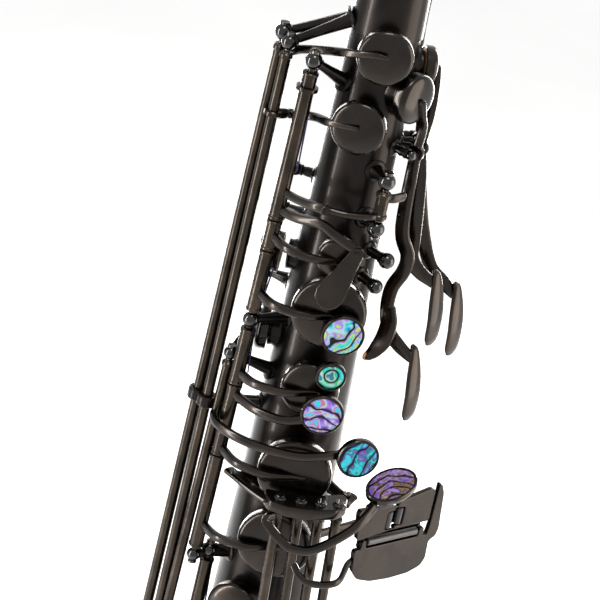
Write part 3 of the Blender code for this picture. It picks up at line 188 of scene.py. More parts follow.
HINGES = {
    "upper_stack": Hinge(mm(-21.3, -12.4, 364.0), mm(-16.4, -11.5, 514.9)),
    "lower_stack": Hinge(mm(-20.8, -13.8, 212.5), mm(-17.3, -9.6, 364.9)),
    "high_e": Hinge(mm(-25.7, -3.8, 518.2), mm(-35.4, -8.4, 232.0)),
    "side_c": Hinge(mm(-23.6, -6.7, 516.8), mm(-30.6, -11.0, 254.0)),
    "side_bb": Hinge(mm(-28.2, -14.6, 284.5), mm(-22.4, -9.5, 427.5)),
    "c_sharp_vent": Hinge(mm(-18.2, 7.5, 446.0), mm(-17.4, 7.5, 466.0)),
    "high_f_lever": Hinge(mm(8.5, -14.7, 488.0), mm(8.4, -15.2, 474.7)),
    "g_sharp": Hinge(mm(1.6, -27.3, 338.0), mm(-0.8, -26.7, 391.5)),
    "low_bb": Hinge(mm(24.2, -28.6, 46.0), mm(4.9, -26.2, 391.5)),
    "low_b": Hinge(mm(27.6, -24.8, 78.0), mm(10.4, -25.4, 391.5)),
    "low_c_sharp": Hinge(mm(29.2, -18.6, 114.0), mm(15.3, -23.7, 391.5)),
    "low_keys": Hinge(mm(-24.6, -17.4, 144.0), mm(-23.0, -15.6, 206.5)),
}
PALM_PIVOT_RADIUS = 15.4
PALM_PIVOT_HEIGHT = 494.0
PALM_ANGLES = {"palm_d": 68.5, "palm_eb": 87.5, "palm_f": 106.5}
PALM_POST_ANGLES = (59.0, 78.0, 97.0, 116.0)
OCTAVE_PIVOT = (0.0, 16.5, 486.0)
BODY_OCTAVE_PIVOT = (0.0, 14.2, 512.0)
NECK_OCTAVE_PIVOT = (0.0, 11.6, 588.0)
BODY_PIP = 530.0
NECK_PIP = 606.0


def palm_hinge(angle):
    """A palm key's short pivot, along the way round the bore."""
    pivot = polar(PALM_PIVOT_RADIUS, angle, PALM_PIVOT_HEIGHT)
    half = sideways(angle) * 0.7 * MM
    return Hinge(pivot - half, pivot + half)


def octave_hinge(pivot, half_width):
    """A hinge across the back."""
    return Hinge(mm(half_width, pivot[1], pivot[2]), mm(-half_width, pivot[1], pivot[2]))


HINGES.update({name: palm_hinge(angle) for name, angle in PALM_ANGLES.items()})
HINGES["octave_lever"] = octave_hinge(OCTAVE_PIVOT, 3.4)
HINGES["body_octave"] = octave_hinge(BODY_OCTAVE_PIVOT, 2.9)
HINGES["neck_octave"] = octave_hinge(NECK_OCTAVE_PIVOT, 2.7)

# Places a plate's outline in the YZ plane, with its thickness along X.
SIDE_VIEW = Matrix(((0, 0, 1, 0), (1, 0, 0, 0), (0, 1, 0, 0), (0, 0, 0, 1)))


# --- finishes -------------------------------------------------------------------------------------

class Finish:
    """A procedural material, built up by short calls. Its textures lie in the piece's own space."""

    def __init__(self, name, roughness=0.4, metallic=0.0, coat=0.0):
        self.material = bpy.data.materials.new(name)
        self.material.use_nodes = True
        self.tree = self.material.node_tree
        self.shader = self.tree.nodes["Principled BSDF"]
        self.shader.inputs["Roughness"].default_value = roughness
        self.shader.inputs["Metallic"].default_value = metallic
        self.shader.inputs["Coat Weight"].default_value = coat
        self.shader.inputs["Coat Roughness"].default_value = 0.08
        self.place = self.add("ShaderNodeTexCoord").outputs["Object"]

    def add(self, kind, inputs=None, **settings):
        """A node with its settings, and its inputs either linked or set."""
        made = self.tree.nodes.new(kind)
        for key, value in settings.items():
            setattr(made, key, value)
        for key, value in (inputs or {}).items():
            if isinstance(value, bpy.types.NodeSocket):
                self.tree.links.new(value, made.inputs[key])
            else:
                made.inputs[key].default_value = value
        return made

    def noise(self, scale, detail=3.0, distortion=0.0, at=None):
        """Noise with this many cells in a metre."""
        inputs = {"Vector": at or self.place, "Scale": scale, "Detail": detail,
                  "Distortion": distortion}
        return self.add("ShaderNodeTexNoise", inputs).outputs["Fac"]

    def cells(self, scale, feature="F1"):
        """Distance in a pattern of cells, this many in a metre."""
        return self.add("ShaderNodeTexVoronoi", {"Vector": self.place, "Scale": scale},
                        feature=feature).outputs["Distance"]

    def streaks(self, x, y, z, detail):
        """Noise with its own number of cells in a metre each way."""
        space = self.add("ShaderNodeMapping", {"Vector": self.place, "Scale": (x, y, z)})
        return self.noise(1.0, detail, at=space.outputs[0])

    def maths(self, operation, first, second=0.0, third=0.0):
        """One step of arithmetic on a texture's value."""
        inputs = {0: first, 1: second, 2: third}
        return self.add("ShaderNodeMath", inputs, operation=operation).outputs[0]

    def ramp(self, value, stops):
        """Colours (or greys) at shares of a value."""
        made = self.add("ShaderNodeValToRGB", {"Fac": value})
        ramp = made.color_ramp
        ramp.interpolation = "EASE"
        while len(ramp.elements) < len(stops):
            ramp.elements.new(1.0)
        for element, (share, colour) in zip(ramp.elements, stops):
            element.position = share
            level = colour if isinstance(colour, tuple) else (colour, colour, colour)
            element.color = (*level, 1.0)
        return made.outputs["Color"]

    def remap(self, value, low, high, start=0.3, end=0.7):
        """The value's range from start to end carried to low to high."""
        inputs = {"Value": value, "From Min": start, "From Max": end, "To Min": low, "To Max": high}
        return self.add("ShaderNodeMapRange", inputs).outputs[0]

    def mixed(self, share, first, second, how="MIX"):
        """Two colours mixed by a share."""
        made = self.add("ShaderNodeMix", data_type="RGBA", blend_type=how)
        for socket, value in ((0, share), (6, first), (7, second)):
            if isinstance(value, bpy.types.NodeSocket):
                self.tree.links.new(value, made.inputs[socket])
            else:
                made.inputs[socket].default_value = value
        return made.outputs[2]

    def drive(self, socket, value):
        """Link a texture to one of the shader's sockets."""
        self.tree.links.new(value, self.shader.inputs[socket])

    def bump(self, height, distance, strength=1.0):
        """Relief from a texture, this many metres deep. Calls add up."""
        made = self.add("ShaderNodeBump", {"Height": height, "Distance": distance,
                                           "Strength": strength})
        before = self.shader.inputs["Normal"].links
        if before:
            self.tree.links.new(before[0].from_socket, made.inputs["Normal"])
        self.drive("Normal", made.outputs["Normal"])


def lacquered_metal(name, dark, light, roughness, coat):
    """Satin black plate: soft tone changes, faint polishing lines and a fine grain."""
    made = Finish(name, metallic=1.0, coat=coat)
    tone = made.noise(90, 4.0, 0.6)
    made.drive("Base Color", made.ramp(tone, [(0.1, dark), (0.9, light)]))
    lines = made.streaks(260, 260, 5200, 4.0)
    grain = made.noise(2600, 3.0)
    spread = made.maths("MULTIPLY_ADD", lines, 0.35, tone)
    made.drive("Roughness", made.remap(spread, roughness - 0.05, roughness + 0.08, 0.45, 0.85))
    made.bump(grain, 0.000012, 0.5)
    made.bump(lines, 0.000010, 0.35)
    return made.material


def turned_steel(name, dark, light, roughness, lines_along=(6000, 6000, 300)):
    """Rod stock and screws: fine tool marks round the axis."""
    made = Finish(name, metallic=1.0, coat=0.15)
    marks = made.streaks(*lines_along, 3.0)
    patches = made.noise(120, 2.0)
    made.drive("Base Color", made.ramp(made.maths("MULTIPLY_ADD", marks, 0.5, patches),
                                       [(0.45, dark), (1.0, light)]))
    made.drive("Roughness", made.remap(marks, roughness - 0.05, roughness + 0.1))
    made.bump(marks, 0.000008, 0.5)
    return made.material


def abalone(name, colours, eye, rings, swirl, seed):
    """Shell inlay: curling bands of colour parted by dark seams, under a clear polish.

    The bands lie round the eye, a point in millimetres. Rings and swirl say how far they follow
    it and how far they wander.
    """
    made = Finish(name, roughness=0.2, coat=0.1)
    made.shader.inputs["Specular IOR Level"].default_value = 0.12
    shift = made.add("ShaderNodeMapping", {"Vector": made.place, "Location": (seed, seed, 0)})
    wander = made.noise(170, 0.6, 0.3, at=shift.outputs[0])
    offset = made.add("ShaderNodeVectorMath", {0: made.place, 1: mm(*eye)}, operation="DISTANCE")
    level = made.maths("MULTIPLY", offset.outputs["Value"], rings / MM)
    level = made.maths("MULTIPLY_ADD", wander, swirl, level)
    wave = made.maths("SINE", made.maths("MULTIPLY", level, 2 * pi))
    wave = made.maths("MULTIPLY_ADD", wave, 0.5, 0.5)
    stops = [(share / (len(colours) - 1), colour) for share, colour in enumerate(colours)]
    drift = made.noise(240, 1.5, 0.8, at=shift.outputs[0])
    hue = made.maths("MULTIPLY_ADD", wave, 0.3, made.remap(drift, 0.0, 0.8, 0.36, 0.64))
    shell = made.ramp(hue, stops)
    flecks = made.noise(1500, 3.0, 0.5)
    shell = made.mixed(made.remap(flecks, 0.0, 0.10), shell, (0.35, 0.45, 0.45, 1))
    seams = made.ramp(wave, [(0.0, 0.01), (0.05, 0.02), (0.14, 0.75), (0.6, 1.0)])
    made.drive("Base Color", made.mixed(1.0, shell, seams, "MULTIPLY"))
    made.drive("Roughness", made.remap(flecks, 0.1, 0.24))
    made.bump(wave, 0.00002, 0.25)
    return made.material


def cork_finish():
    """Cork with darker pores and a crumbly grain."""
    made = Finish("cork", roughness=0.85)
    grain = made.noise(700, 5.0, 0.3)
    pores = made.cells(900)
    ground = made.ramp(grain, [(0.3, (0.20, 0.08, 0.03)), (0.7, (0.42, 0.21, 0.085))])
    pits = made.ramp(pores, [(0.08, 0.25), (0.3, 1.0)])
    made.drive("Base Color", made.mixed(0.8, ground, pits, "MULTIPLY"))
    made.drive("Roughness", made.remap(grain, 0.75, 0.95))
    made.bump(pits, 0.00008, 0.5)
    made.bump(grain, 0.0001, 0.4)
    return made.material


def leather_finish():
    """Pad leather: warm tan, creased, a little darker where the skin is open."""
    made = Finish("pad_leather", roughness=0.55)
    creases = made.cells(1500, "DISTANCE_TO_EDGE")
    tone = made.noise(160, 4.0, 0.5)
    made.drive("Base Color", made.ramp(tone, [(0.3, (0.16, 0.075, 0.03)),
                                              (0.7, (0.30, 0.16, 0.07))]))
    made.drive("Roughness", made.remap(tone, 0.48, 0.66))
    made.bump(made.ramp(creases, [(0.0, 0.0), (0.12, 1.0)]), 0.00004, 0.4)
    return made.material


def ebonite_finish():
    """Hard rubber: black with a brown bloom and fine polishing lines."""
    made = Finish("ebonite", coat=0.05)
    made.shader.inputs["Specular IOR Level"].default_value = 0.3
    bloom = made.noise(60, 4.0, 0.4)
    lines = made.streaks(900, 900, 7000, 3.0)
    made.drive("Base Color", made.ramp(bloom, [(0.3, (0.010, 0.010, 0.011)),
                                               (0.75, (0.026, 0.021, 0.017))]))
    made.drive("Roughness", made.remap(lines, 0.24, 0.38))
    made.bump(lines, 0.000006, 0.4)
    return made.material


def cane_finish():
    """Reed cane: fibres along the reed, with darker streaks."""
    made = Finish("cane", roughness=0.55)
    fibres = made.streaks(4200, 4200, 90, 4.0)
    streaks = made.streaks(900, 900, 40, 3.0)
    ground = made.ramp(fibres, [(0.3, (0.34, 0.21, 0.075)), (0.7, (0.58, 0.42, 0.19))])
    stain = made.ramp(streaks, [(0.35, 0.62), (0.6, 1.0)])
    made.drive("Base Color", made.mixed(0.8, ground, stain, "MULTIPLY"))
    made.drive("Roughness", made.remap(fibres, 0.42, 0.68))
    made.bump(fibres, 0.00005, 0.5)
    return made.material


def black_plastic():
    """Rollers and the thumb rest: glossy black with faint handling marks."""
    made = Finish("roller_black", coat=0.1)
    marks = made.noise(400, 5.0, 1.0)
    made.drive("Base Color", made.ramp(marks, [(0.3, (0.008, 0.008, 0.009)),
                                               (0.8, (0.020, 0.019, 0.020))]))
    made.drive("Roughness", made.remap(marks, 0.22, 0.38))
    made.bump(made.noise(3000, 2.0), 0.000008, 0.4)
    return made.material


def bore_shadow():
    """Painted shade of the bore seen down a tone hole: near-black, with faint marks."""
    made = Finish("painted_bore_shade", roughness=0.6, metallic=0.6)
    marks = made.noise(500, 3.0)
    # Painted shade: very dark colour standing for the unlit inside of the bore.
    made.drive("Base Color", made.ramp(marks, [(0.3, (0.006, 0.005, 0.005)),
                                               (0.7, (0.016, 0.013, 0.011))]))
    made.bump(marks, 0.00002, 0.4)
    return made.material


def blued_steel():
    """Needle springs: blue tempered steel with straw patches."""
    made = Finish("blued_steel", metallic=1.0)
    heat = made.noise(150, 3.0, 0.5)
    made.drive("Base Color", made.ramp(heat, [(0.3, (0.03, 0.06, 0.22)), (0.6, (0.06, 0.05, 0.16)),
                                              (0.85, (0.20, 0.10, 0.05))]))
    made.drive("Roughness", made.remap(made.noise(2500), 0.2, 0.34))
    return made.material


def floor_finish():
    """Matt white studio sweep with the faintest mottling."""
    made = Finish("studio_floor", roughness=0.9)
    mottle = made.noise(3.0, 5.0)
    made.drive("Base Color", made.ramp(mottle, [(0.3, 0.86), (0.7, 0.90)]))
    made.bump(made.noise(220, 3.0), 0.0002, 0.1)
    return made.material


TEAL = (0.000, 0.095, 0.130)
CYAN = (0.002, 0.36, 0.42)
GREEN = (0.004, 0.30, 0.10)
LIME = (0.26, 0.44, 0.03)
BLUE = (0.012, 0.055, 0.34)
VIOLET = (0.090, 0.030, 0.30)
LILAC = (0.22, 0.12, 0.44)
ROSE = (0.30, 0.08, 0.12)
BROWN = (0.040, 0.012, 0.006)
GOLD = (0.13, 0.075, 0.035)
PALE = (0.26, 0.38, 0.40)

# Each pearl: its colours, the eye of its bands in mm, how far they ring it and how far they wander.
PEARLS = {
    "pearl_b": ((VIOLET, BLUE, CYAN, PALE, LILAC, LIME, CYAN), (-3.0, -21.0, 452.0), 0.34, 2.6),
    "pearl_bis": ((TEAL, CYAN, GREEN, PALE, TEAL), (5.2, -22.5, 434.0), 0.62, 0.7),
    "pearl_a": ((BROWN, VIOLET, LILAC, PALE, ROSE, LILAC, CYAN), (4.2, -24.0, 416.0), 0.36, 2.3),
    "pearl_g": ((BLUE, TEAL, CYAN, TEAL, VIOLET, CYAN), (22.6, -17.0, 408.0), 0.42, 2.0),
    "pearl_g_sharp": ((BROWN, GOLD, BROWN, LILAC, GOLD, VIOLET), (33.0, -22.0, 396.0), 0.50, 1.5),
    "pearl_f": ((BLUE, CYAN, PALE, LILAC, GREEN), (-6.0, -26.0, 303.0), 0.36, 2.2),
    "pearl_e": ((GREEN, TEAL, VIOLET, PALE, CYAN), (6.0, -26.0, 274.0), 0.36, 2.2),
    "pearl_d": ((LILAC, BLUE, CYAN, PALE, ROSE), (-6.0, -28.0, 230.0), 0.36, 2.4),
}


def make_finishes():
    """Every material by name."""
    made = {
        "black_lacquer": lacquered_metal("black_lacquer", (0.010, 0.0095, 0.009),
                                         (0.022, 0.018, 0.016), 0.31, 0.08),
        "key_lacquer": lacquered_metal("key_lacquer", (0.013, 0.012, 0.011),
                                       (0.032, 0.024, 0.019), 0.25, 0.22),
        "post_gloss": lacquered_metal("post_gloss", (0.008, 0.008, 0.008),
                                      (0.016, 0.015, 0.014), 0.11, 0.8),
        "rod_steel": turned_steel("rod_steel", (0.020, 0.016, 0.013), (0.048, 0.037, 0.028), 0.26),
        "screw_steel": turned_steel("screw_steel", (0.030, 0.027, 0.025), (0.11, 0.10, 0.09), 0.22,
                                    (4000, 4000, 4000)),
        "cork": cork_finish(),
        "pad_leather": leather_finish(),
        "ebonite": ebonite_finish(),
        "cane": cane_finish(),
        "roller_black": black_plastic(),
        "painted_bore_shade": bore_shadow(),
        "blued_steel": blued_steel(),
        "studio_floor": floor_finish(),
    }
    for seed, (name, pattern) in enumerate(PEARLS.items()):
        made[name] = abalone(name, *pattern, 0.37 * seed)
    return made


FINISHES = make_finishes()


# --- shapes ---------------------------------------------------------------------------------------

CREASE_ANGLE = 32


def finish_shape(bm):
    """Point the faces of a closed shape outwards."""
    bmesh.ops.recalc_face_normals(bm, faces=bm.faces)
    return bm


def skin_rings(bm, rings):
    """The wall from each ring of points to the next, and a face across both ends."""
    for low, high in zip(rings, rings[1:]):
        for step in range(len(low)):
            after = (step + 1) % len(low)
            bm.faces.new((low[step], low[after], high[after], high[step]))
    bm.faces.new(rings[0])
    bm.faces.new(rings[-1])


def scaled(outline):
    """An outline's points from millimetres to metres."""
    return [(x * MM, y * MM) for x, y in outline]


def turned(profile, sides=48, place=Matrix.Identity(4), ring=False):
    """A solid of revolution about Z from (radius, height) points in metres.

    With ring the profile is a closed outline clear of the axis.
    """
    bm = bmesh.new()
    angles = [2 * pi * step / sides for step in range(sides)]
    loops = []
    for radius, height in profile:
        if radius == 0:
            loops.append([bm.verts.new((0, 0, height))])
        else:
            loops.append([bm.verts.new((radius * cos(angle), radius * sin(angle), height))
                          for angle in angles])
    pairs = list(zip(loops, loops[1:]))
    if ring:
        pairs.append((loops[-1], loops[0]))
    for low, high in pairs:
        for step in range(sides):
            after = (step + 1) % sides
            corners = [low[step % len(low)], low[after % len(low)],
                       high[after % len(high)], high[step % len(high)]]
            bm.faces.new(dict.fromkeys(corners))
    bm.transform(place)
    return finish_shape(bm)


def cylinder(start, end, radius, end_radius=None, sides=24, edge=0.12 * MM):
    """A round bar between two points with eased ends."""
    last = radius if end_radius is None else end_radius
    length = (end - start).length
    ease = min(edge, length / 4, radius / 2, last / 2)
    profile = [(0, 0), (radius - ease, 0), (radius, ease), (last, length - ease),
               (last - ease, length), (0, length)]
    return turned(profile, sides, axes_matrix(start, end - start))


def ball(centre, radius, axis=UP):
    """A ball with its poles along an axis."""
    rings = 14
    profile = [(radius * sin(pi * step / rings), -radius * cos(pi * step / rings))
               for step in range(rings + 1)]
    profile[0] = (0, -radius)
    profile[-1] = (0, radius)
    return turned(profile, 2 * rings, axes_matrix(centre, axis))


def spline(points, steps):
    """Points along a Catmull-Rom curve through the given vectors."""
    ends = [points[0] * 2 - points[1]] + list(points) + [points[-1] * 2 - points[-2]]
    path = []
    for index in range(1, len(ends) - 2):
        p0, p1, p2, p3 = ends[index - 1:index + 3]
        for step in range(steps):
            t = step / steps
            path.append(0.5 * (2 * p1 + (p2 - p0) * t + (2 * p0 - 5 * p1 + 4 * p2 - p3) * t ** 2
                               + (3 * p1 - p0 - 3 * p2 + p3) * t ** 3))
    path.append(points[-1])
    return path


def bar(points, width, depth, facing=None, steps=7, sides=16, square=3.2):
    """A forged bar along a smooth path, with eased edges and rounded ends.

    The depth lies along facing, which is away from the bore unless given. Width and depth are in
    millimetres, one number or one for each point. A larger square gives flatter sides.
    """
    count = len(points)
    widths = width if isinstance(width, (list, tuple)) else [width] * count
    depths = depth if isinstance(depth, (list, tuple)) else [depth] * count
    path = spline(points, steps)
    sizes = spline([mm(w, d, 0) for w, d in zip(widths, depths)], steps)
    bm = bmesh.new()
    rings = []
    for index, point in enumerate(path):
        before = path[max(index - 1, 0)]
        after = path[min(index + 1, len(path) - 1)]
        along = (after - before).normalized()
        normal = Vector(facing) if facing else radial(point)
        normal = (normal - along * normal.dot(along)).normalized()
        across = along.cross(normal)
        half_width, half_depth = sizes[index].x / 2, sizes[index].y / 2
        lift = [(1.0, 0.0)]
        round_end = min(half_width, half_depth)
        if index == 0:
            lift = [(0.45, -0.95 * round_end), (0.82, -0.55 * round_end), (1.0, 0.0)]
        if index == len(path) - 1:
            lift = [(1.0, 0.0), (0.82, 0.55 * round_end), (0.45, 0.95 * round_end)]
        for share, shift in lift:
            ring = []
            for step in range(sides):
                angle = 2 * pi * (step + 0.5) / sides
                a, b = cos(angle), sin(angle)
                grow = (abs(a) ** square + abs(b) ** square) ** (-1 / square)
                ring.append(bm.verts.new(point + along * shift
                                         + across * a * grow * half_width * share
                                         + normal * b * grow * half_depth * share))
            rings.append(ring)
    skin_rings(bm, rings)
    return finish_shape(bm)


def rounded(outline, radius):
    """An outline with its corners rounded, in millimetres."""
    steps = 4
    points = [Vector((x, y)) for x, y in outline]
    result = []
    for index, corner in enumerate(points):
        back = points[index - 1] - corner
        onward = points[(index + 1) % len(points)] - corner
        reach = min(radius, back.length * 0.45, onward.length * 0.45)
        start = corner + back.normalized() * reach
        end = corner + onward.normalized() * reach
        for step in range(steps + 1):
            t = step / steps
            point = start * (1 - t) ** 2 + corner * 2 * t * (1 - t) + end * t ** 2
            result.append((point.x, point.y))
    return result


def plate(outline, thickness, place, corner=0.6, edge=0.25 * MM):
    """A plate with rounded corners and eased edges, its thickness along the place's Z."""
    bm = bmesh.new()
    points = rounded(outline, corner) if corner else outline
    rows = [[bm.verts.new((x * MM, y * MM, z)) for x, y in points]
            for z in (-thickness / 2, thickness / 2)]
    count = len(points)
    caps = [bm.faces.new(row) for row in rows]
    for step in range(count):
        after = (step + 1) % count
        bm.faces.new((rows[0][step], rows[0][after], rows[1][after], rows[1][step]))
    rims = {e for cap in caps for e in cap.edges}
    bmesh.ops.recalc_face_normals(bm, faces=bm.faces)
    if edge:
        bmesh.ops.bevel(bm, geom=list(rims), offset=min(edge, thickness * 0.4), segments=2,
                        profile=0.5, affect="EDGES", clamp_overlap=True)
    bm.transform(place)
    return finish_shape(bm)


def stadium(length, width):
    """Outline of a bar with round ends, in millimetres, lengthwise along X."""
    steps = 10
    half = width / 2
    reach = length / 2 - half
    outline = []
    for side in (1, -1):
        for step in range(steps + 1):
            angle = radians(-90 + 180 * step / steps)
            outline.append((side * (reach + half * cos(angle)), side * half * sin(angle)))
    return outline


def slotted_head(point, direction, radius, height=0.5 * MM):
    """A screw head with a driver slot, standing on a point."""
    place = axes_matrix(point, direction)
    base = turned([(0, 0), (radius, 0), (radius, height * 0.4), (0, height * 0.4)], 24, place)
    shapes = [base]
    slot = 0.16
    for side in (1, -1):
        arc = [(radius / MM * cos(radians(a)), radius / MM * sin(radians(a)))
               for a in range(-90, 91, 15)]
        half = [(side * max(x, slot), side * y) for x, y in arc]
        lift = Matrix.Translation((0, 0, height * 0.7))
        shapes.append(plate(half, height * 0.6, place @ lift, corner=0, edge=0.08 * MM))
    return shapes


def merged(shapes):
    """All the shapes in one mesh."""
    whole = bmesh.new()
    for shape in shapes:
        mesh = bpy.data.meshes.new("shape")
        shape.to_mesh(mesh)
        shape.free()
        whole.from_mesh(mesh)
        bpy.data.meshes.remove(mesh)
    return whole


def placed(name, data):
    """A new object in the scene."""
    item = bpy.data.objects.new(name, data)
    bpy.context.scene.collection.objects.link(item)
    return item


def piece(name, shapes, finish, body, replaces=None):
    """Put a finished piece in the scene, riding on its body."""
    bm = merged(shapes)
    mesh = bpy.data.meshes.new(name)
    bm.to_mesh(mesh)
    bm.free()
    mesh.shade_smooth()
    mesh.set_sharp_from_angle(angle=radians(CREASE_ANGLE))
    for face in mesh.polygons:
        face.use_smooth = face.loop_total <= 4
    mesh.materials.append(FINISHES[finish])
    item = placed(name, mesh)
    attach(item, body)
    if replaces:
        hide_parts(replaces)
    return item


def stand_in(node, shapes, finish):
    """A finished piece that takes a CAD node's place on its body."""
    return piece(node + ".look", shapes, finish, BODY_OF[node], node)


# --- fittings on the body -------------------------------------------------------------------------

def seat_distance(name):
    """Distance from the bore to the rim of a tone hole's chimney."""
    hole = TONE_HOLES[name]
    return skin_radius(hole.height * MM) + hole.rim * MM


def hole_place(name):
    """A frame on the bore's line, looking out through a tone hole."""
    hole = TONE_HOLES[name]
    return facing_out(0, hole.angle, hole.height)


def chimney(name):
    """The drawn wall of a tone hole, with its rolled rim."""
    radius = TONE_HOLES[name].radius * MM
    skin = skin_radius(TONE_HOLES[name].height * MM)
    outer = radius + CHIMNEY_WALL
    top = seat_distance(name)
    foot = (skin ** 2 - outer ** 2) ** 0.5 - 0.6 * MM if outer < skin else 0.0
    flare = 0.5 * MM
    outline = [(outer + flare, foot), (outer + flare, top - 2.3 * MM), (outer, top - 1.2 * MM),
               (outer, top - 0.5 * MM), (outer + 0.12 * MM, top - 0.25 * MM),
               (outer - 0.1 * MM, top), (radius + 0.15 * MM, top), (radius, top - 0.2 * MM),
               (radius, foot)]
    return turned(outline, 48, hole_place(name), ring=True)


def hole_shadow(name):
    """A painted shade disc: the dark of the bore inside a chimney, drawn as a near-black disc."""
    radius = (TONE_HOLES[name].radius + 0.05) * MM
    level = skin_radius(TONE_HOLES[name].height * MM) + 0.15 * MM
    return turned([(0, level - 1 * MM), (radius, level - 1 * MM), (radius, level), (0, level)], 40,
                  hole_place(name))


def turned_post(start, end, base_radius, ball_radius, axis):
    """A turned pillar with a flanged foot, and the ball at its head."""
    length = (end - start).length
    waist = max(1.15 * MM, base_radius * 0.58)
    profile = [(0, 0), (base_radius + 1.1 * MM, 0), (base_radius + 1.1 * MM, 0.55 * MM),
               (base_radius + 0.8 * MM, 0.85 * MM), (base_radius, 1.05 * MM),
               (base_radius - 0.15 * MM, 1.7 * MM)]
    neck = length - ball_radius * 0.85
    if neck > 3.2 * MM:
        profile += [(waist + 0.2 * MM, neck * 0.62), (waist, neck - 0.6 * MM),
                    (waist + 0.35 * MM, neck - 0.35 * MM), (waist + 0.35 * MM, neck)]
    profile += [(waist, length), (0, length)]
    pillar = turned(profile, 32, axes_matrix(start, end - start))
    return pillar, ball(end, ball_radius, axis)


# Posts on the body tube: hinge, height and height of the foot in mm, ball radius in mm.
POSTS = (
    ("upper_stack", 514.9, 509.0, 2.3),
    ("upper_stack", 440.0, 440.0, 2.3),
    ("upper_stack", 364.0, 364.0, 2.0),
    ("lower_stack", 364.9, 364.9, 2.3),
    ("lower_stack", 284.5, 284.5, 2.3),
    ("lower_stack", 212.5, 212.5, 2.3),
    ("high_e", 518.2, 525.0, 2.3),
    ("high_e", 232.0, 232.0, 2.3),
    ("side_c", 516.8, 525.0, 2.1),
    ("side_c", 254.0, 254.0, 2.3),
    ("side_bb", 427.5, 422.5, 1.9),
    ("side_bb", 284.5, 284.5, 2.3),
    ("c_sharp_vent", 466.0, 466.0, 2.1),
    ("c_sharp_vent", 446.0, 446.0, 2.1),
    ("high_f_lever", 488.0, 488.0, 2.3),
    ("high_f_lever", 474.7, 474.7, 2.3),
    ("g_sharp", 338.0, 338.0, 2.3),
    ("low_c_sharp", 114.0, 114.0, 2.3),
    ("low_keys", 206.5, 206.5, 2.3),
    ("low_keys", 144.0, 144.0, 2.3),
)
BELL_POSTS = (("low_bb", 46.0), ("low_b", 78.0))
# The bracket's feet: angle, and the heights in mm of the foot on the tube and of its head.
BRACKET_FEET = ((-38.0, 390.4, 394.6), (44.0, 394.6, 394.6))
BRACKET_FOOT_REACH = 22.0
BRACKET_SCREW_REACH = 24.2
GUIDE_HEIGHT = 411.2
# Extra small balls on stems beside the front F key: place in mm and ball radius.
STUD_BALLS = ((13.1, -11.7, 464.9, 2.2), (11.7, -13.4, 457.7, 2.0), (-15.5, 3.6, 479.0, 2.0))
# Needle springs: hinge, post height, length along the hinge (down is negative), in mm.
SPRINGS = (
    ("upper_stack", 514.9, -31.0), ("upper_stack", 440.0, 15.0), ("upper_stack", 440.0, -17.0),
    ("lower_stack", 364.9, -26.0), ("lower_stack", 284.5, 20.0),
    ("lower_stack", 284.5, -18.0), ("lower_stack", 212.5, 24.0), ("high_e", 232.0, 30.0),
    ("side_c", 254.0, 28.0),
    ("side_bb", 427.5, -24.0), ("side_bb", 284.5, 26.0), ("g_sharp", 338.0, 24.0),
    ("low_c_sharp", 114.0, 30.0), ("low_keys", 206.5, -20.0), ("low_keys", 144.0, 20.0),
)


def post_start(point, height):
    """Where a post meets the wall."""
    return radial(point) * (skin_radius(height) - 0.5 * MM) + Vector((0, 0, height))


def wall_post(head, base_radius, ball_radius, axis, foot=None):
    """A post that carries an axis at its head, on a foot at its own height unless given.

    The radii and the foot's height are in millimetres.
    """
    start = post_start(head, head.z if foot is None else foot * MM)
    return turned_post(start, head, base_radius * MM, ball_radius * MM, axis)


def body_posts():
    """Every post on the body tube, as pairs of a pillar and a ball."""
    posts = []
    for name, height, foot, ball_radius in POSTS:
        hinge = HINGES[name]
        posts.append(wall_post(hinge.at(height), 2.0, ball_radius, hinge.axis, foot))
    for angle in PALM_POST_ANGLES:
        head = polar(PALM_PIVOT_RADIUS, angle, PALM_PIVOT_HEIGHT)
        posts.append(wall_post(head, 1.2, 1.5, sideways(angle)))
    for (_, y, z), spread in ((OCTAVE_PIVOT, 5.6), (BODY_OCTAVE_PIVOT, 5.0)):
        posts += [wall_post(mm(x, y, z), 1.2, 1.7, RIGHT) for x in (-spread, spread)]
    for x, y, z, radius in STUD_BALLS:
        posts.append(wall_post(mm(x, y, z), 1.5, radius, UP))
    return posts


# Hinges with a screw at both ends, and how far its head stands from the end, in mm.
DOUBLE_PIVOTS = {"upper_stack": 2.05, "lower_stack": 2.05, "high_e": 2.05, "side_c": 1.85,
                 "side_bb": 1.75, "c_sharp_vent": 1.85, "high_f_lever": 2.05, "low_keys": 2.05}
LOWER_PIVOT_LIFT = 2.1
TABLE_HINGES = ("g_sharp", "low_c_sharp", "low_b", "low_bb")
TABLE_POINT_LOW = 391.6
TABLE_POINT_HIGH = 394.0
PIVOT_POINT_RADIUS = 0.75 * MM


def pivot_screw(end, way, lift):
    """A slotted head this many millimetres outside a hinge's end, and the point inside it."""
    return slotted_head(end + way * lift * MM, way, 1.25 * MM, 0.7 * MM) + [
        cylinder(end, end - way * 4.2 * MM, PIVOT_POINT_RADIUS)]


def pivot_screws():
    """The screws at the hinge ends, and the upper points that carry the table keys' rods."""
    shapes = []
    for name, lift in DOUBLE_PIVOTS.items():
        hinge = HINGES[name]
        shapes += pivot_screw(hinge.lower, -hinge.axis, lift)
        shapes += pivot_screw(hinge.upper, hinge.axis, lift)
    for name in ("g_sharp", "low_c_sharp"):
        shapes += pivot_screw(HINGES[name].lower, -HINGES[name].axis, LOWER_PIVOT_LIFT)
    for name in TABLE_HINGES:
        hinge = HINGES[name]
        shapes.append(cylinder(hinge.at(TABLE_POINT_LOW), hinge.at(TABLE_POINT_HIGH),
                               PIVOT_POINT_RADIUS))
    return shapes


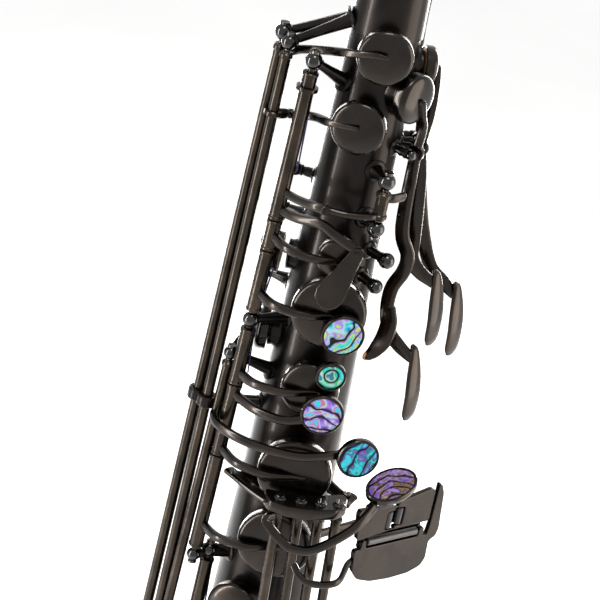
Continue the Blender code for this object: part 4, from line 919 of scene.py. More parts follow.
def needle_springs():
    """Blued needles from the posts along their keys, a little nearer the tube."""
    shapes = []
    for name, height, length in SPRINGS:
        hinge = HINGES[name]
        start = hinge.at(height)
        inward = -radial(start) * 1.5 * MM
        end = hinge.at(height + length) + inward * 2.1
        shapes.append(cylinder(start + inward, end, 0.33 * MM, 0.2 * MM, 10))
        eye = start + inward * 1.1
        tail = hinge.axis * (-1.2 * MM if length > 0 else 1.2 * MM)
        shapes.append(cylinder(eye, eye + tail, 0.45 * MM, sides=12))
    return shapes


def rod_guide():
    """The double saddle that keeps the two longest side rods from bowing."""
    far = HINGES["high_e"].at(GUIDE_HEIGHT)
    near = HINGES["side_c"].at(GUIDE_HEIGHT)
    middle = (far + near) / 2
    shapes = []
    for hinge in (HINGES["high_e"], HINGES["side_c"]):
        centre = hinge.at(GUIDE_HEIGHT)
        outline = [(1.75, -1.6), (2.5, -1.6), (2.75, -1.25), (2.75, 1.25), (2.5, 1.6), (1.75, 1.6)]
        shapes.append(turned(scaled(outline), 32, axes_matrix(centre, hinge.axis), ring=True))
    head = middle - radial(middle) * 1.4 * MM
    shapes.append(turned_post(post_start(middle, middle.z), head, 1.7 * MM, 1.5 * MM, UP)[0])
    shapes.append(ball(middle - radial(middle) * 1.2 * MM, 1.7 * MM))
    return shapes


LUG_ANGLE = 205.0
LUG_HEIGHT = 559.5


def receiver_lug():
    """The split ear on the receiver that the neck screw draws together."""
    centre = polar(13.2, LUG_ANGLE, LUG_HEIGHT)
    across = sideways(LUG_ANGLE) * MM
    return [cylinder(centre + across * side * 0.4, centre + across * side * 3.2, 3.0 * MM,
                     sides=40, edge=0.4 * MM) for side in (-1, 1)]


def body_wall():
    """The body tube with its sleeve, the receiver's collar and two turned beads."""
    collar = 11.2 * MM
    inner_top = tube_radius(BODY_TOP) - WALL
    outline = [(tube_radius(BELL_TOP), BELL_TOP),
               (tube_radius(SLEEVE_START), SLEEVE_START),
               (tube_radius(SLEEVE_START) + SLEEVE_STEP, SLEEVE_START + 0.25 * MM)]
    base = BODY_TOP - 14 * MM
    outline += [(tube_radius(base) + SLEEVE_STEP, base), (collar - 0.9 * MM, base + 0.7 * MM),
                (collar - 0.2 * MM, base + 1.3 * MM), (collar, base + 2.2 * MM),
                (collar, base + 3.4 * MM), (collar - 0.5 * MM, base + 3.8 * MM),
                (collar - 0.5 * MM, BODY_TOP - 3.4 * MM), (collar, BODY_TOP - 3.0 * MM),
                (collar, BODY_TOP - 0.4 * MM), (collar - 0.4 * MM, BODY_TOP),
                (inner_top, BODY_TOP), (tube_radius(BELL_TOP) - WALL, BELL_TOP)]
    return turned(outline, 128, ring=True)


def pip(height, reach, skin):
    """A vent tube at the back, with a turned foot and its dark hole."""
    profile = [(0, 0), (3.0, 0), (3.0, 0.9), (2.2, 1.2), (1.9, reach - 0.2), (1.7, reach),
               (0.9, reach), (0.9, reach - 0.8), (0, reach - 0.8)]
    place = axes_matrix(Vector((0, skin - 0.5 * MM, height * MM)), BACK)
    return turned(scaled(profile), 32, place)


def make_body():
    """The body tube, its posts, springs and screws."""
    pillars, balls = map(list, zip(*body_posts()))
    holes = [name for name in TONE_HOLES if name not in BELL_HOLES]
    shapes = [body_wall()] + [chimney(name) for name in holes] + pillars
    shapes += rod_guide() + receiver_lug()
    for angle, low, high in BRACKET_FEET:
        start = outward(angle) * (tube_radius(low * MM) - 0.4 * MM) + mm(0, 0, low)
        end = polar(BRACKET_FOOT_REACH, angle, high)
        shapes.append(cylinder(start, end, 2.0 * MM, 1.5 * MM))
    shapes.append(pip(BODY_PIP, 2.4, skin_radius(BODY_PIP * MM)))
    stand_in("body_tube", shapes, "black_lacquer")
    piece("post_balls", balls, "post_gloss", "instrument")
    # Painted shade: a near-black disc in each tone hole stands for the dark of the bore.
    piece("tone_hole_shadows", [hole_shadow(name) for name in TONE_HOLES], "painted_bore_shade",
          "instrument")
    piece("pivot_screws", pivot_screws(), "screw_steel", "instrument")
    piece("needle_springs", needle_springs(), "blued_steel", "instrument")


def make_bell():
    """The flared bell with its rolled rim, two chimneys and the posts of the two longest keys."""
    top, low, count = (BELL_TOP - GAP) / MM, 1.6, 40
    steps = [top - (top - low) * step / count for step in range(count + 1)]
    outer = [(min(bell_radius(z * MM), RIM_RADIUS - 1.2 * MM), z * MM) for z in steps]
    rim = [(RIM_RADIUS - 0.5 * MM, 1.9 * MM), (RIM_RADIUS, 1.3 * MM), (RIM_RADIUS, 0.6 * MM),
           (RIM_RADIUS - 0.5 * MM, 0.08 * MM), (RIM_RADIUS - 1.2 * MM, 0),
           (RIM_RADIUS - 2.0 * MM, 0.2 * MM), (RIM_RADIUS - 2.3 * MM, 0.9 * MM)]
    inner = [(min(bell_radius(z * MM) - 0.8 * MM, RIM_RADIUS - 2.3 * MM), z * MM)
             for z in reversed(steps)]
    shapes = [turned(outer + rim + inner, 144, ring=True)]
    shapes += [chimney(name) for name in BELL_HOLES]
    balls = []
    screws = []
    for name, height in BELL_POSTS:
        hinge = HINGES[name]
        pillar, head = wall_post(hinge.at(height), 2.0, 2.3, hinge.axis)
        shapes.append(pillar)
        balls.append(head)
        screws += pivot_screw(hinge.lower, -hinge.axis, LOWER_PIVOT_LIFT)
    stand_in("bell", shapes, "black_lacquer")
    piece("bell_post_balls", balls, "post_gloss", "instrument")
    piece("bell_pivot_screws", screws, "screw_steel", "instrument")

    inner_radius = bell_radius(BELL_TOP - 5 * MM) + GAP
    band = [(0.0, 99.0), (1.1, 99.0), (1.6, 99.5), (1.6, 100.6), (1.15, 101.0), (1.15, 101.5),
            (1.6, 101.9), (1.6, 105.1), (1.15, 105.5), (1.15, 106.0), (1.6, 106.4), (1.6, 107.5),
            (1.1, 108.0), (0.0, 108.0)]
    outline = [(inner_radius + r * MM, z * MM) for r, z in band]
    stand_in("bell_ring", [turned(outline, 128, ring=True)], "key_lacquer")


TENON_END = 553 * MM


def make_neck():
    """The neck with its tenon, collar, octave posts and vent, and the cork on its end."""
    tenon = tube_radius(BODY_TOP) - WALL - GAP
    outline = [(tenon, TENON_END), (tenon, BODY_TOP + GAP), (10.3 * MM, BODY_TOP + GAP)]
    outline += scaled([(10.6, 566.6), (10.6, 568.2), (10.1, 568.6), (10.1, 569.2), (10.6, 569.6),
                       (10.6, 570.6), (9.6, 571.3), (8.5, 572.0), (7.9, 573.4)])
    outline += [(5.6 * MM, NECK_TOP), (4.6 * MM, NECK_TOP), (5.9 * MM, TENON_END)]
    shapes = [turned(outline, 96, ring=True)]
    balls = []
    pivot = NECK_OCTAVE_PIVOT
    for side in (-1, 1):
        start = mm(side * 2.6, 6.4, pivot[2])
        end = mm(side * 4.6, pivot[1], pivot[2])
        shapes.append(cylinder(start, end, 1.4 * MM, 1.1 * MM))
        balls.append(ball(end, 1.5 * MM, RIGHT))
    shapes.append(pip(NECK_PIP, 3.3, 6.2 * MM))
    stand_in("neck", shapes, "black_lacquer")
    piece("neck_post_balls", balls, "post_gloss", "neck")

    low, high = [(7.9 - 2.3 * (z - 573) / 67 + 0.3, z) for z in (612, 640)]
    outline = [low, (7.4, 612), (7.7, 612.6), (7.68, 620), (7.6, 632), (7.5, 639.2), (7.2, 640),
               high]
    stand_in("neck_cork", [turned(scaled(outline), 72, ring=True)], "cork")

    centre = polar(13.8, LUG_ANGLE, LUG_HEIGHT)
    across = sideways(LUG_ANGLE)
    shank = cylinder(centre - across * 4.5 * MM, centre + across * 4.4 * MM, 1.1 * MM)
    profile = [(0, 0), (2.0, 0), (2.2, 0.5), (1.6, 1.2), (1.4, 2.6), (1.9, 3.6), (0, 3.6)]
    collar = turned(scaled(profile), 32, axes_matrix(centre + across * 3.6 * MM, across))
    place = axes_matrix(centre + across * 9.0 * MM, outward(LUG_ANGLE))
    head = plate(stadium(9.0, 6.5), 1.7 * MM, place, 0, 0.5 * MM)
    stand_in("neck_screw", [shank, collar, head], "key_lacquer")


# --- mouthpiece -----------------------------------------------------------------------------------

# Heights in mm: the two ends, the top of the shank's ring, the start of the beak, and where the
# reed's table begins to close on the bore's line by this slope. Then the reed's own.
MOUTHPIECE_LOW = 618.0
MOUTHPIECE_TOP = 702.0
SHANK_RING_TOP = 622.5
BEAK_START = 664.0
TABLE_BEND = 680.0
TABLE_SLOPE = 0.032
REED_FOOT = 651.5
REED_LENGTH = 50.1
MOUTHPIECE_SIDES = 72
UNCUT = 30.0


def mouthpiece_ring(bm, height, radius, low=-UNCUT, high=UNCUT):
    """One section of the mouthpiece: a circle cut flat at y = low and y = high, in millimetres."""
    ring = []
    for step in range(MOUTHPIECE_SIDES):
        angle = 2 * pi * step / MOUTHPIECE_SIDES
        y = min(max(radius * sin(angle), low), high)
        ring.append(bm.verts.new(mm(radius * cos(angle), y, height)))
    return ring


def table_offset(height):
    """How far the flat under the reed has moved at this height; less is nearer the bore's line."""
    return -max(height - TABLE_BEND, 0) * TABLE_SLOPE


def mouthpiece_radius(height):
    """Outer radius of the mouthpiece, in millimetres."""
    if height < SHANK_RING_TOP:
        return 10.3
    if height < 660:
        return 9.6 + 0.5 * sin(pi * (height - SHANK_RING_TOP) / 75)
    return 10.1 - 2.2 * ((height - 660) / 42) ** 1.4


def make_mouthpiece():
    """The mouthpiece with its beak and table, the reed, the ligature and its screws."""
    bm = bmesh.new()
    heights = [MOUTHPIECE_LOW, 618.3, 618.8, 621.6, 622.1, SHANK_RING_TOP, 623.2]
    heights += [623.2 + (MOUTHPIECE_TOP - 623.2) * step / 60 for step in range(1, 61)]
    rings = []
    for height in heights:
        eased = 0.35 if height in (MOUTHPIECE_LOW, SHANK_RING_TOP) else 0.0
        low, high = -UNCUT, UNCUT
        if height >= BEAK_START:
            low = -9.4 + (height - BEAK_START) / 38.0 * 12.9
        if height >= 650:
            high = 7.4 + table_offset(height)
        rings.append(mouthpiece_ring(bm, height, mouthpiece_radius(height) - eased, low,
                                     max(high, low + 0.5)))
    bore = [mouthpiece_ring(bm, height, 8.0) for height in (MOUTHPIECE_LOW, 641)]
    skin_rings(bm, bore[::-1] + rings)
    bmesh.ops.remove_doubles(bm, verts=bm.verts, dist=1e-6)
    stand_in("mouthpiece", [finish_shape(bm)], "ebonite")
    make_reed()
    make_ligature()


def make_reed():
    """The reed: flat on the table, crowned, and shaved to a thin tip."""
    bm = bmesh.new()
    rings = []
    count = 40
    across = 20
    for step in range(count + 1):
        z = REED_FOOT + REED_LENGTH * step / count
        flat = 7.7 + table_offset(z)
        cut = min(max((z - 670) / 31.6, 0.0), 1.0)
        crown = 2.2 * (1 - cut) ** 1.25 + 0.28
        shoulder = min(1.1, crown * 0.75)
        half = 5.3 + 0.25 * (z - REED_FOOT) / 50
        ring = [bm.verts.new(mm(-half + 2 * half * k / across, flat, z)) for k in range(across + 1)]
        for k in range(across, -1, -1):
            x = -1 + 2 * k / across
            lift = shoulder + (crown - shoulder) * (1 - x * x)
            ring.append(bm.verts.new(mm(x * half, flat + lift, z)))
        rings.append(ring)
    skin_rings(bm, rings)
    stand_in("reed", [finish_shape(bm)], "cane")


LIGATURE_SCREWS = {"ligature_screw_upper": 656.5, "ligature_screw_lower": 649.5}
SCREW_DISTANCE = 14.9


def make_ligature():
    """The band that holds the reed, with rolled edges, a rib opposite it and two pairs of lugs."""
    outline = [(11.95, 645.0), (12.5, 645.0), (12.7, 645.4), (12.7, 646.4), (12.4, 646.8),
               (12.4, 659.2), (12.7, 659.6), (12.7, 660.6), (12.5, 661.0), (11.95, 661.0)]
    shapes = [turned(scaled(outline), 96, ring=True)]
    eye = [(0.95, -0.85), (2.3, -0.85), (2.3, 0.85), (0.95, 0.85)]
    for x in (-1.9, 1.9):
        for z in sorted(LIGATURE_SCREWS.values()):
            shapes.append(turned(scaled(eye), 24, axes_matrix(mm(x, SCREW_DISTANCE, z), RIGHT),
                                 ring=True))
            web = [(12.0, z - 1.9), (13.6, z - 1.9), (13.6, z + 1.9), (12.0, z + 1.9)]
            shapes.append(plate(web, 1.7 * MM, Matrix.Translation(mm(x, 0, 0)) @ SIDE_VIEW, 0.2))
    shapes.append(bar([mm(0, -12.5, 646.4), mm(0, -12.6, 653), mm(0, -12.5, 659.6)], 2.4, 0.7,
                      facing=BACK, steps=4))
    stand_in("ligature", shapes, "key_lacquer")
    hub_profile = scaled([(0, 0), (1.3, 0), (1.5, 0.3), (1.0, 0.9), (0, 0.9)])
    for name, z in LIGATURE_SCREWS.items():
        shank = cylinder(mm(-4.0, SCREW_DISTANCE, z), mm(4.2, SCREW_DISTANCE, z), 0.6 * MM)
        hub = turned(hub_profile, 24, axes_matrix(mm(3.4, SCREW_DISTANCE, z), RIGHT))
        place = axes_matrix(mm(6.4, SCREW_DISTANCE, z), BACK)
        head = plate(stadium(5.2, 4.4), 1.5 * MM, place, 0, 0.4 * MM)
        stand_in(name, [shank, hub, head], "key_lacquer")


# --- fittings at the back -------------------------------------------------------------------------

THUMB_HOOK_HEIGHT = 302.0
THUMB_REST_HEIGHT = 438.0
STRAP_RING_HEIGHT = 345.0


def back_surface(height):
    """How far back a fitting's seat lies at this height, in millimetres."""
    return (tube_radius(height * MM) + GAP) / MM


def back_foot(length, width, height):
    """A foot plate with round ends on the back of the tube, in millimetres."""
    place = axes_matrix(mm(0, back_surface(height) + 0.8, height), BACK, RIGHT)
    return plate(stadium(length, width), 1.6 * MM, place, 0, 0.4 * MM)


def foot_screws(height, spread, shift=0.0):
    """Two slotted screws above and below a foot plate's middle, or a point shifted up from it."""
    shapes = []
    for side in (-1, 1):
        seat = mm(0, back_surface(height) + 1.5, height + shift + side * spread)
        shapes += slotted_head(seat, BACK, 1.5 * MM, 0.6 * MM)
    return shapes


def make_back_fittings():
    """The right thumb's hook, the left thumb's rest and the strap ring."""
    height = THUMB_HOOK_HEIGHT
    surface = back_surface(height)
    curve = [mm(0, surface + 1.0, height - 4), mm(0, surface + 7, height - 4.5),
             mm(-1, surface + 13, height - 2), mm(-3, surface + 15.5, height + 5),
             mm(-5, surface + 15, height + 11)]
    hook = bar(curve, [6, 6.4, 6.6, 6.0, 4.6], 1.9, facing=UP)
    stand_in("thumb_hook", [back_foot(21.0, 8.4, height), hook], "key_lacquer")
    piece("thumb_hook_screws", foot_screws(height, 7.6, 0.5), "screw_steel", "instrument")

    profile = [(0, 0), (7.6, 0), (8.1, 0.5), (8.2, 1.2), (7.9, 1.9), (7.2, 2.4), (5.8, 2.75),
               (4.2, 2.95), (2.4, 3.12), (0, 3.2)]
    place = axes_matrix(mm(0, back_surface(THUMB_REST_HEIGHT), THUMB_REST_HEIGHT), BACK)
    stand_in("thumb_rest", [turned(scaled(profile), 64, place)], "roller_black")

    height = STRAP_RING_HEIGHT
    section = [(6.0 + 1.1 * cos(radians(a)), 1.1 * sin(radians(a))) for a in range(0, 360, 24)]
    place = axes_matrix(mm(0, back_surface(height) + 7.6, height), RIGHT)
    loop = turned(scaled(section), 56, place, ring=True)
    stand_in("strap_ring", [back_foot(17.0, 7.4, height), loop], "key_lacquer")
    piece("strap_foot_screws", foot_screws(height, 6.4), "screw_steel", "instrument")


def make_hinge_rods():
    """The two stacks' steel rods."""
    for node, name in (("upper_stack_rod", "upper_stack"), ("lower_stack_rod", "lower_stack")):
        hinge = HINGES[name]
        reach = hinge.axis * 2.9 * MM
        steel = cylinder(hinge.lower - reach, hinge.upper + reach, ROD_RADIUS)
        stand_in(node, [steel], "rod_steel")


# --- keys -----------------------------------------------------------------------------------------

# Each key that stands open, and the degrees that it swings from closed. The rest are closed.
OPEN_KEYS = {
    "small_c_key": 5.8, "b_key": 6.2, "bis_key": 5.5, "a_key": 5.8, "g_key": 5.8,
    "f_sharp_key": 7.0, "f_key": 7.0, "e_key": 7.1, "d_key": 7.4, "c_sharp_vent_key": 8.0,
    "low_b_key": 7.5, "low_bb_key": 6.0, "low_c_key": 7.2,
}


class Key:
    """One key: its metal, pads, pearls, corks and rods, drawn closed and then swung to rest.

    What is in standing is drawn at rest already. An arm starts at the grip, a distance from the
    hinge's line.
    """

    def __init__(self, name, hinge_name):
        self.name = name
        self.hinge = HINGES[hinge_name]
        self.metal = []
        self.standing = []
        self.pads = []
        self.inlays = []
        self.corks = []
        self.rods = []
        self.grip = 0.8 * MM
        self.rest = self.hinge.turn(-OPEN_KEYS.get(name, 0.0))

    def tube(self, low, high):
        """A hinge tube between two heights, in millimetres, with a bead at each end."""
        start, end = self.hinge.at(low), self.hinge.at(high)
        length = (end - start).length
        outline = [(1.25, 0.0), (2.02, 0.0), (2.15, 0.15), (2.15, 0.75), (1.98, 0.95)]
        profile = scaled(outline)
        profile += [(radius, length - z) for radius, z in reversed(profile)]
        self.grip = 1.65 * MM
        self.rods.append(turned(profile, 36, axes_matrix(start, end - start), ring=True))

    def rod(self, low, high, radius, collars=()):
        """A solid rod between two heights, in millimetres, with collars at some of them."""
        self.rods.append(cylinder(self.hinge.at(low), self.hinge.at(high), radius, sides=36))
        for height, spread in [(low + 1.0, 0.35), (high - 1.0, 0.35)] + list(collars):
            centre = self.hinge.at(height)
            half = self.hinge.axis * 0.7 * MM
            self.rods.append(cylinder(centre - half, centre + half, radius + spread * MM,
                                      sides=36, edge=0.25 * MM))

    def cup(self, hole):
        """The pad cup over a tone hole, and the leather pad in it."""
        radius = TONE_HOLES[hole].cup
        base = (seat_distance(hole) + GAP) / MM
        top = base + CUP_THICKNESS / MM - 0.2
        shell = [(0, base + 0.9), (radius - 0.7, base + 0.9), (radius - 0.45, base + 0.12),
                 (radius - 0.12, base + 0.12), (radius, base + 0.3), (radius, base + 2.1),
                 (radius - 0.14, base + 2.65), (radius - 0.5, base + 3.1),
                 (radius - 1.1, base + 3.38), (radius - 2.0, top - 0.12),
                 (radius * 0.45, top + 0.1), (0, top + 0.2)]
        pad = [(0, base), (radius - 2.2, base), (radius - 1.1, base + 0.1),
               (radius - 0.6, base + 0.5), (radius - 0.55, base + 1.1), (0, base + 1.1)]
        self.metal.append(turned(scaled(shell), 72, hole_place(hole)))
        self.pads.append(turned(scaled(pad), 56, hole_place(hole)))

    def cup_arm(self, hole, start_height, bulge=1.6, width=2.4, depth=2.2):
        """The curved arm from the tube to the middle of the cup, tapering to its tip."""
        height, angle = TONE_HOLES[hole].height, TONE_HOLES[hole].angle
        root = self.hinge.at(start_height)
        root_radius = Vector((root.x, root.y)).length / MM
        root_angle = -outward(0).angle(Vector((root.x, root.y, 0))) * 180 / pi
        if root.x > 0:
            root_angle = -root_angle
        end_radius = (seat_distance(hole) + GAP + CUP_THICKNESS) / MM + 0.15
        points = []
        for share in (0.35, 0.7, 1.0, 1.12):
            reach = min(share, 1.0)
            radius = root_radius + (end_radius - root_radius) * reach + bulge * sin(pi * reach)
            points.append(polar(radius, root_angle + (angle - root_angle) * share,
                                start_height + (height - start_height) * share))
        widths = [width * share for share in (1.15, 1.0, 0.92, 0.7, 0.45)]
        depths = [depth * share for share in (1.0, 1.0, 0.85, 0.6, 0.35)]
        self.arm(points, start_height, widths, depths)

    def arm(self, points, start_height, width=2.3, depth=2.1, facing=None, standing=False):
        """A smooth bar from the tube's wall through the points."""
        root = self.hinge.at(start_height)
        toward = points[0] - root
        toward.z = 0
        start = root + toward.normalized() * self.grip
        shapes = self.standing if standing else self.metal
        shapes.append(bar([start] + points, width, depth, facing))

    def pearl_holder(self, pearl_name, place, radius=PEARL_RADIUS, stem=0.0):
        """A touch whose rim holds a domed pearl, on a stem of this many metres if it stands off."""
        reach = radius / MM
        outer = reach + 0.75
        holder = [(0, -0.1), (outer - 1.4, -0.1), (outer - 0.4, 0.25), (outer, 0.9), (outer, 2.3),
                  (outer - 0.2, 2.6), (reach + 0.2, 2.6), (reach + 0.1, 2.3), (reach + 0.1, 1.3),
                  (0, 1.3)]
        dome = [(0, 1.35), (reach, 1.35), (reach, 2.45), (reach - 0.3, 2.72), (reach * 0.7, 2.92),
                (reach * 0.35, 3.05), (0, 3.1)]
        self.metal.append(turned(scaled(holder), 64, place))
        if stem:
            foot = place @ Vector((0, 0, -stem))
            self.metal.append(cylinder(foot, place @ mm(0, 0, 0.4), 2.0 * MM, 2.9 * MM, 32))
        self.inlays.append((pearl_name, turned(scaled(dome), 64, place)))

    def cork(self, start, end, radius):
        """A bumper cork between two points; radius in millimetres."""
        self.corks.append(cylinder(start, end, radius * MM, sides=24, edge=0.25 * MM))

    def build(self):
        """Swing everything to rest and put it in the scene in the CAD node's place."""
        swung = self.metal + self.pads + self.corks + self.rods + [disc for _, disc in self.inlays]
        for shape in swung:
            shape.transform(self.rest)
        stand_in(self.name, self.metal + self.standing, "key_lacquer")
        body = BODY_OF[self.name]
        if self.rods:
            piece(self.name + ".tube", self.rods, "rod_steel", body)
        if self.pads:
            pad = piece(self.name + ".pad", self.pads, "pad_leather", body)
        if self.corks:
            piece(self.name + ".cork", self.corks, "cork", body)
        for name, disc in self.inlays:
            stand_in(name, [disc], name)


def stack_key(name, low, high, hole, arm_height, hinge="upper_stack"):
    """A key of one of the two stacks: a hinge tube, an arm and a cup."""
    key = Key(name, hinge)
    key.tube(low, high)
    key.cup(hole)
    key.cup_arm(hole, arm_height)
    return key


def make_upper_stack():
    """The keys on the upper stack's rod, from the top down."""
    front_f = Key("front_f_key", "upper_stack")
    front_f.tube(470.2, 511.8)
    collar = scaled([(1.9, 0), (2.9, 0.1), (2.9, 1.1), (1.9, 1.2)])
    place = axes_matrix(front_f.hinge.at(506.8), front_f.hinge.axis)
    front_f.rods.append(turned(collar, 36, place, ring=True))
    front_f.arm([mm(-12, -16.5, 473.6), mm(-6, -20.2, 474.9), mm(-1.4, -21.9, 473.4),
                 mm(4.6, -22.9, 470.9)], 472.9, [2.4, 2.6, 2.6, 2.6, 2.6],
                [2.0, 2.0, 1.9, 1.8, 1.7])
    drop = [(0, 1.9), (1.3, 1.5), (1.8, 0.2), (2.2, -3.0), (3.1, -8.0), (3.8, -11.5), (3.9, -13.5),
            (3.3, -15.6), (2.0, -17.0), (0, -17.6)]
    drop += [(-x, y) for x, y in reversed(drop[1:-1])]
    normal = Vector((0.10, -1, 0.06))
    face = axes_matrix(mm(4.9, -23.3, 470.2), normal, Vector((0.35, 0, 0.94)))
    front_f.metal.append(plate(drop, 1.5 * MM, face, 0.5, 0.45 * MM))
    front_f.metal += slotted_head(face @ mm(0, -0.2, 0.6), normal, 0.9 * MM)
    front_f.arm([mm(-13, -16.4, 478.6), mm(-8.5, -20.6, 479.6), mm(-5.0, -22.2, 479.8)], 478.2,
                [2.2, 2.2, 2.4, 2.8], 1.8)
    front_f.cork(mm(-6.4, -21.6, 480.0), mm(-5.6, -20.9, 479.2), 0.9)
    front_f.metal += slotted_head(mm(-5.4, -22.9, 479.9), Vector((-0.25, -1, 0.1)), 1.1 * MM)
    front_f.build()

    stack_key("small_c_key", 461.2, 469.8, "small_c", 465.2).build()

    b_key = stack_key("b_key", 442.8, 460.8, "b", 448.2)
    b_key.pearl_holder("pearl_b", facing_out(19.6, 19, 446.2), stem=2.2 * MM)
    b_key.build()

    bis = stack_key("bis_key", 420.2, 437.2, "bis", 423.6)
    bis.pearl_holder("pearl_bis", facing_out(19.4, 17, 433.4), SMALL_PEARL_RADIUS, 2.0 * MM)
    bis.build()

    a_key = stack_key("a_key", 397.6, 419.8, "a", 399.6)
    a_key.arm([mm(-12, -18.3, 417), mm(-4, -21.2, 417.6), mm(3.2, -21.0, 420)], 416.9,
              [2.6, 2.4, 2.4, 2.8], [2.2, 2.0, 1.9, 1.9])
    a_key.pearl_holder("pearl_a", facing_out(21.4, 16, 422.9))
    a_key.build()

    g_key = stack_key("g_key", 367.0, 397.2, "g", 374.4)
    g_key.arm([mm(-21.6, -8.3, 399), mm(-22.4, -8.1, 405), mm(-23.8, -11.2, 408.6),
               mm(-22.2, -16.0, 408.9), mm(-16, -20.4, 408.7), mm(-8, -22.9, 408.8),
               mm(2, -23.6, 409.3), mm(9, -20.9, 409.9), mm(13.4, -17.6, 410)], 395.4, 2.5, 1.9)
    g_key.pearl_holder("pearl_g", axes_matrix(mm(17.4, -16.2, 410.4), outward(24)))
    g_key.build()


def make_lower_stack():
    """The keys on the lower stack's rod, from the top down."""
    stack_key("f_sharp_key", 317.9, 361.8, "f_sharp", 322.0, "lower_stack").build()
    spans = {"f": (287.5, 317.5), "e": (254.3, 281.5), "d": (215.4, 253.9)}
    for note, (low, high) in spans.items():
        height = TONE_HOLES[note].height
        key = stack_key(note + "_key", low, high, note, height - 2, "lower_stack")
        top = (seat_distance(note) + CUP_THICKNESS) / MM
        key.pearl_holder("pearl_" + note, facing_out(top + 1.6, -5, height + 6), stem=2.0 * MM)
        key.build()


def side_touch(key, stem, x, y, height):
    """A short stem out to a long crowned touch that faces away from the bore at the side."""
    key.arm([mm(*point, height) for point in stem], height, 4, 1.6, facing=RIGHT)
    path = [mm(x, y, height + rise) for rise in (10.6, 5, -5, -10.6)]
    key.metal.append(bar(path, [6.4, 7.6, 7.6, 6.4], 1.8, facing=RIGHT, square=2.6, sides=24))


def make_side_keys():
    """The right hand's side keys, each with a long rod, and the vent key behind them."""
    high_e = Key("high_e_key", "high_e")
    high_e.rod(234.7, 515.0, SIDE_ROD_RADIUS)
    high_e.cup("high_e")
    high_e.arm([mm(-21, -3.6, 514.2), mm(-14, -6.9, 516.6), mm(-8.5, -12.6, 519.2),
                mm(-2, -16.2, 521.2), mm(1.5, -16.9, 521.4)], 512.6, [2.6, 2.4, 2.3, 2.2, 1.8, 1.1],
               [2.4, 2.2, 2.1, 1.9, 1.5, 0.9])
    side_touch(high_e, ((-37.2, -2), (-37.4, 3)), -37.6, 5.0, 249.0)
    high_e.build()

    side_c = Key("side_c_key", "side_c")
    side_c.rod(256.7, 514.2, SIDE_ROD_RADIUS, [(497.2, 0.9)])
    side_c.cup("side_c")
    side_c.arm([mm(-18.6, -5.4, 497.4), mm(-13.4, -7.6, 498.6), mm(-9.2, -13.0, 500),
                mm(-2.0, -16.8, 501.2)], 497.0, [2.6, 2.4, 2.3, 2.1, 1.2],
               [2.4, 2.2, 2.1, 1.7, 0.9])
    side_touch(side_c, ((-31.0, -5), (-31.4, 1)), -31.6, 3.6, 272.0)
    side_c.build()

    side_bb = Key("side_bb_key", "side_bb")
    side_bb.rod(287.2, 425.2, THIN_ROD_RADIUS)
    side_bb.cup("side_bb")
    side_bb.arm([mm(-22.8, -5.2, 423.5), mm(-21.4, -2.6, 428), mm(-18.2, -1.2, 433.2)], 421.0,
                1.9, 1.8)
    side_touch(side_bb, ((-28.0, -18), (-28.2, -21)), -28.4, -23.4, 300.0)
    side_bb.build()

    vent = Key("c_sharp_vent_key", "c_sharp_vent")
    vent.rod(448.4, 463.6, STOUT_ROD_RADIUS)
    vent.cup("c_sharp_vent")
    vent.arm([mm(-19.4, 3, 456.4), mm(-17.4, -1.2, 456.2)], 456.6)
    vent.build()


PALM_TOUCH_FACING = 52.0
# A spoon touch's middle line from its lever's end: further out and up, in mm.
PALM_TOUCH_PATH = ((-0.6, 3.6), (0.4, 1.8), (1.6, -4), (2.5, -10), (2.7, -15.6), (2.6, -17.8))


def make_palm_key(name, hole, bar_path, touch_path, touch_angle, stop=()):
    """A palm key: a pivot boss, a bar up to the cup and a forged lever down to the spoon touch.

    The bar's path is (radius, angle, height) and the lever's is (radius, height) in millimetres.
    The stop is a spur from the lever to the body, with a cork under its tip.
    """
    angle = PALM_ANGLES[hole]
    across = sideways(angle)
    key = Key(name, hole)
    key.metal.append(cylinder(key.hinge.lower, key.hinge.upper, 2.3 * MM, sides=32, edge=0.2 * MM))
    key.cup(hole)
    height, hole_angle = TONE_HOLES[hole].height, TONE_HOLES[hole].angle
    top = (seat_distance(hole) + GAP + CUP_THICKNESS) / MM + 0.1
    upper = [polar(PALM_PIVOT_RADIUS, angle, PALM_PIVOT_HEIGHT)]
    upper += [polar(*point) for point in bar_path]
    upper.append(polar(top, hole_angle, height))
    key.metal.append(bar(upper, 2.6, 1.4, facing=across))
    steps = len(touch_path)
    lever = [polar(radius, angle + (touch_angle - angle) * step / steps, z)
             for step, (radius, z) in enumerate(touch_path)]
    reach, z = touch_path[-1]
    widths = [3.2] + [4.0] * (len(lever) - 2) + [3.0]
    key.metal.append(bar(lever, widths, 1.7, facing=across))
    if stop:
        key.metal.append(bar([polar(*point) for point in stop], [3.4, 4.8, 5.0, 4.0, 2.6], 1.6,
                             facing=across))
        key.cork(polar(*stop[-1]), polar(stop[-1][0] - 0.9, *stop[-1][1:]), 1.3)
    touch = [polar(reach + out, touch_angle, z + rise) for out, rise in PALM_TOUCH_PATH]
    key.metal.append(bar(touch, [1.6, 3.4, 5.6, 6.2, 5.6, 3.2], [1.0, 1.5, 1.7, 1.7, 1.5, 1.0],
                         outward(PALM_TOUCH_FACING), square=2.2, sides=28))
    key.build()


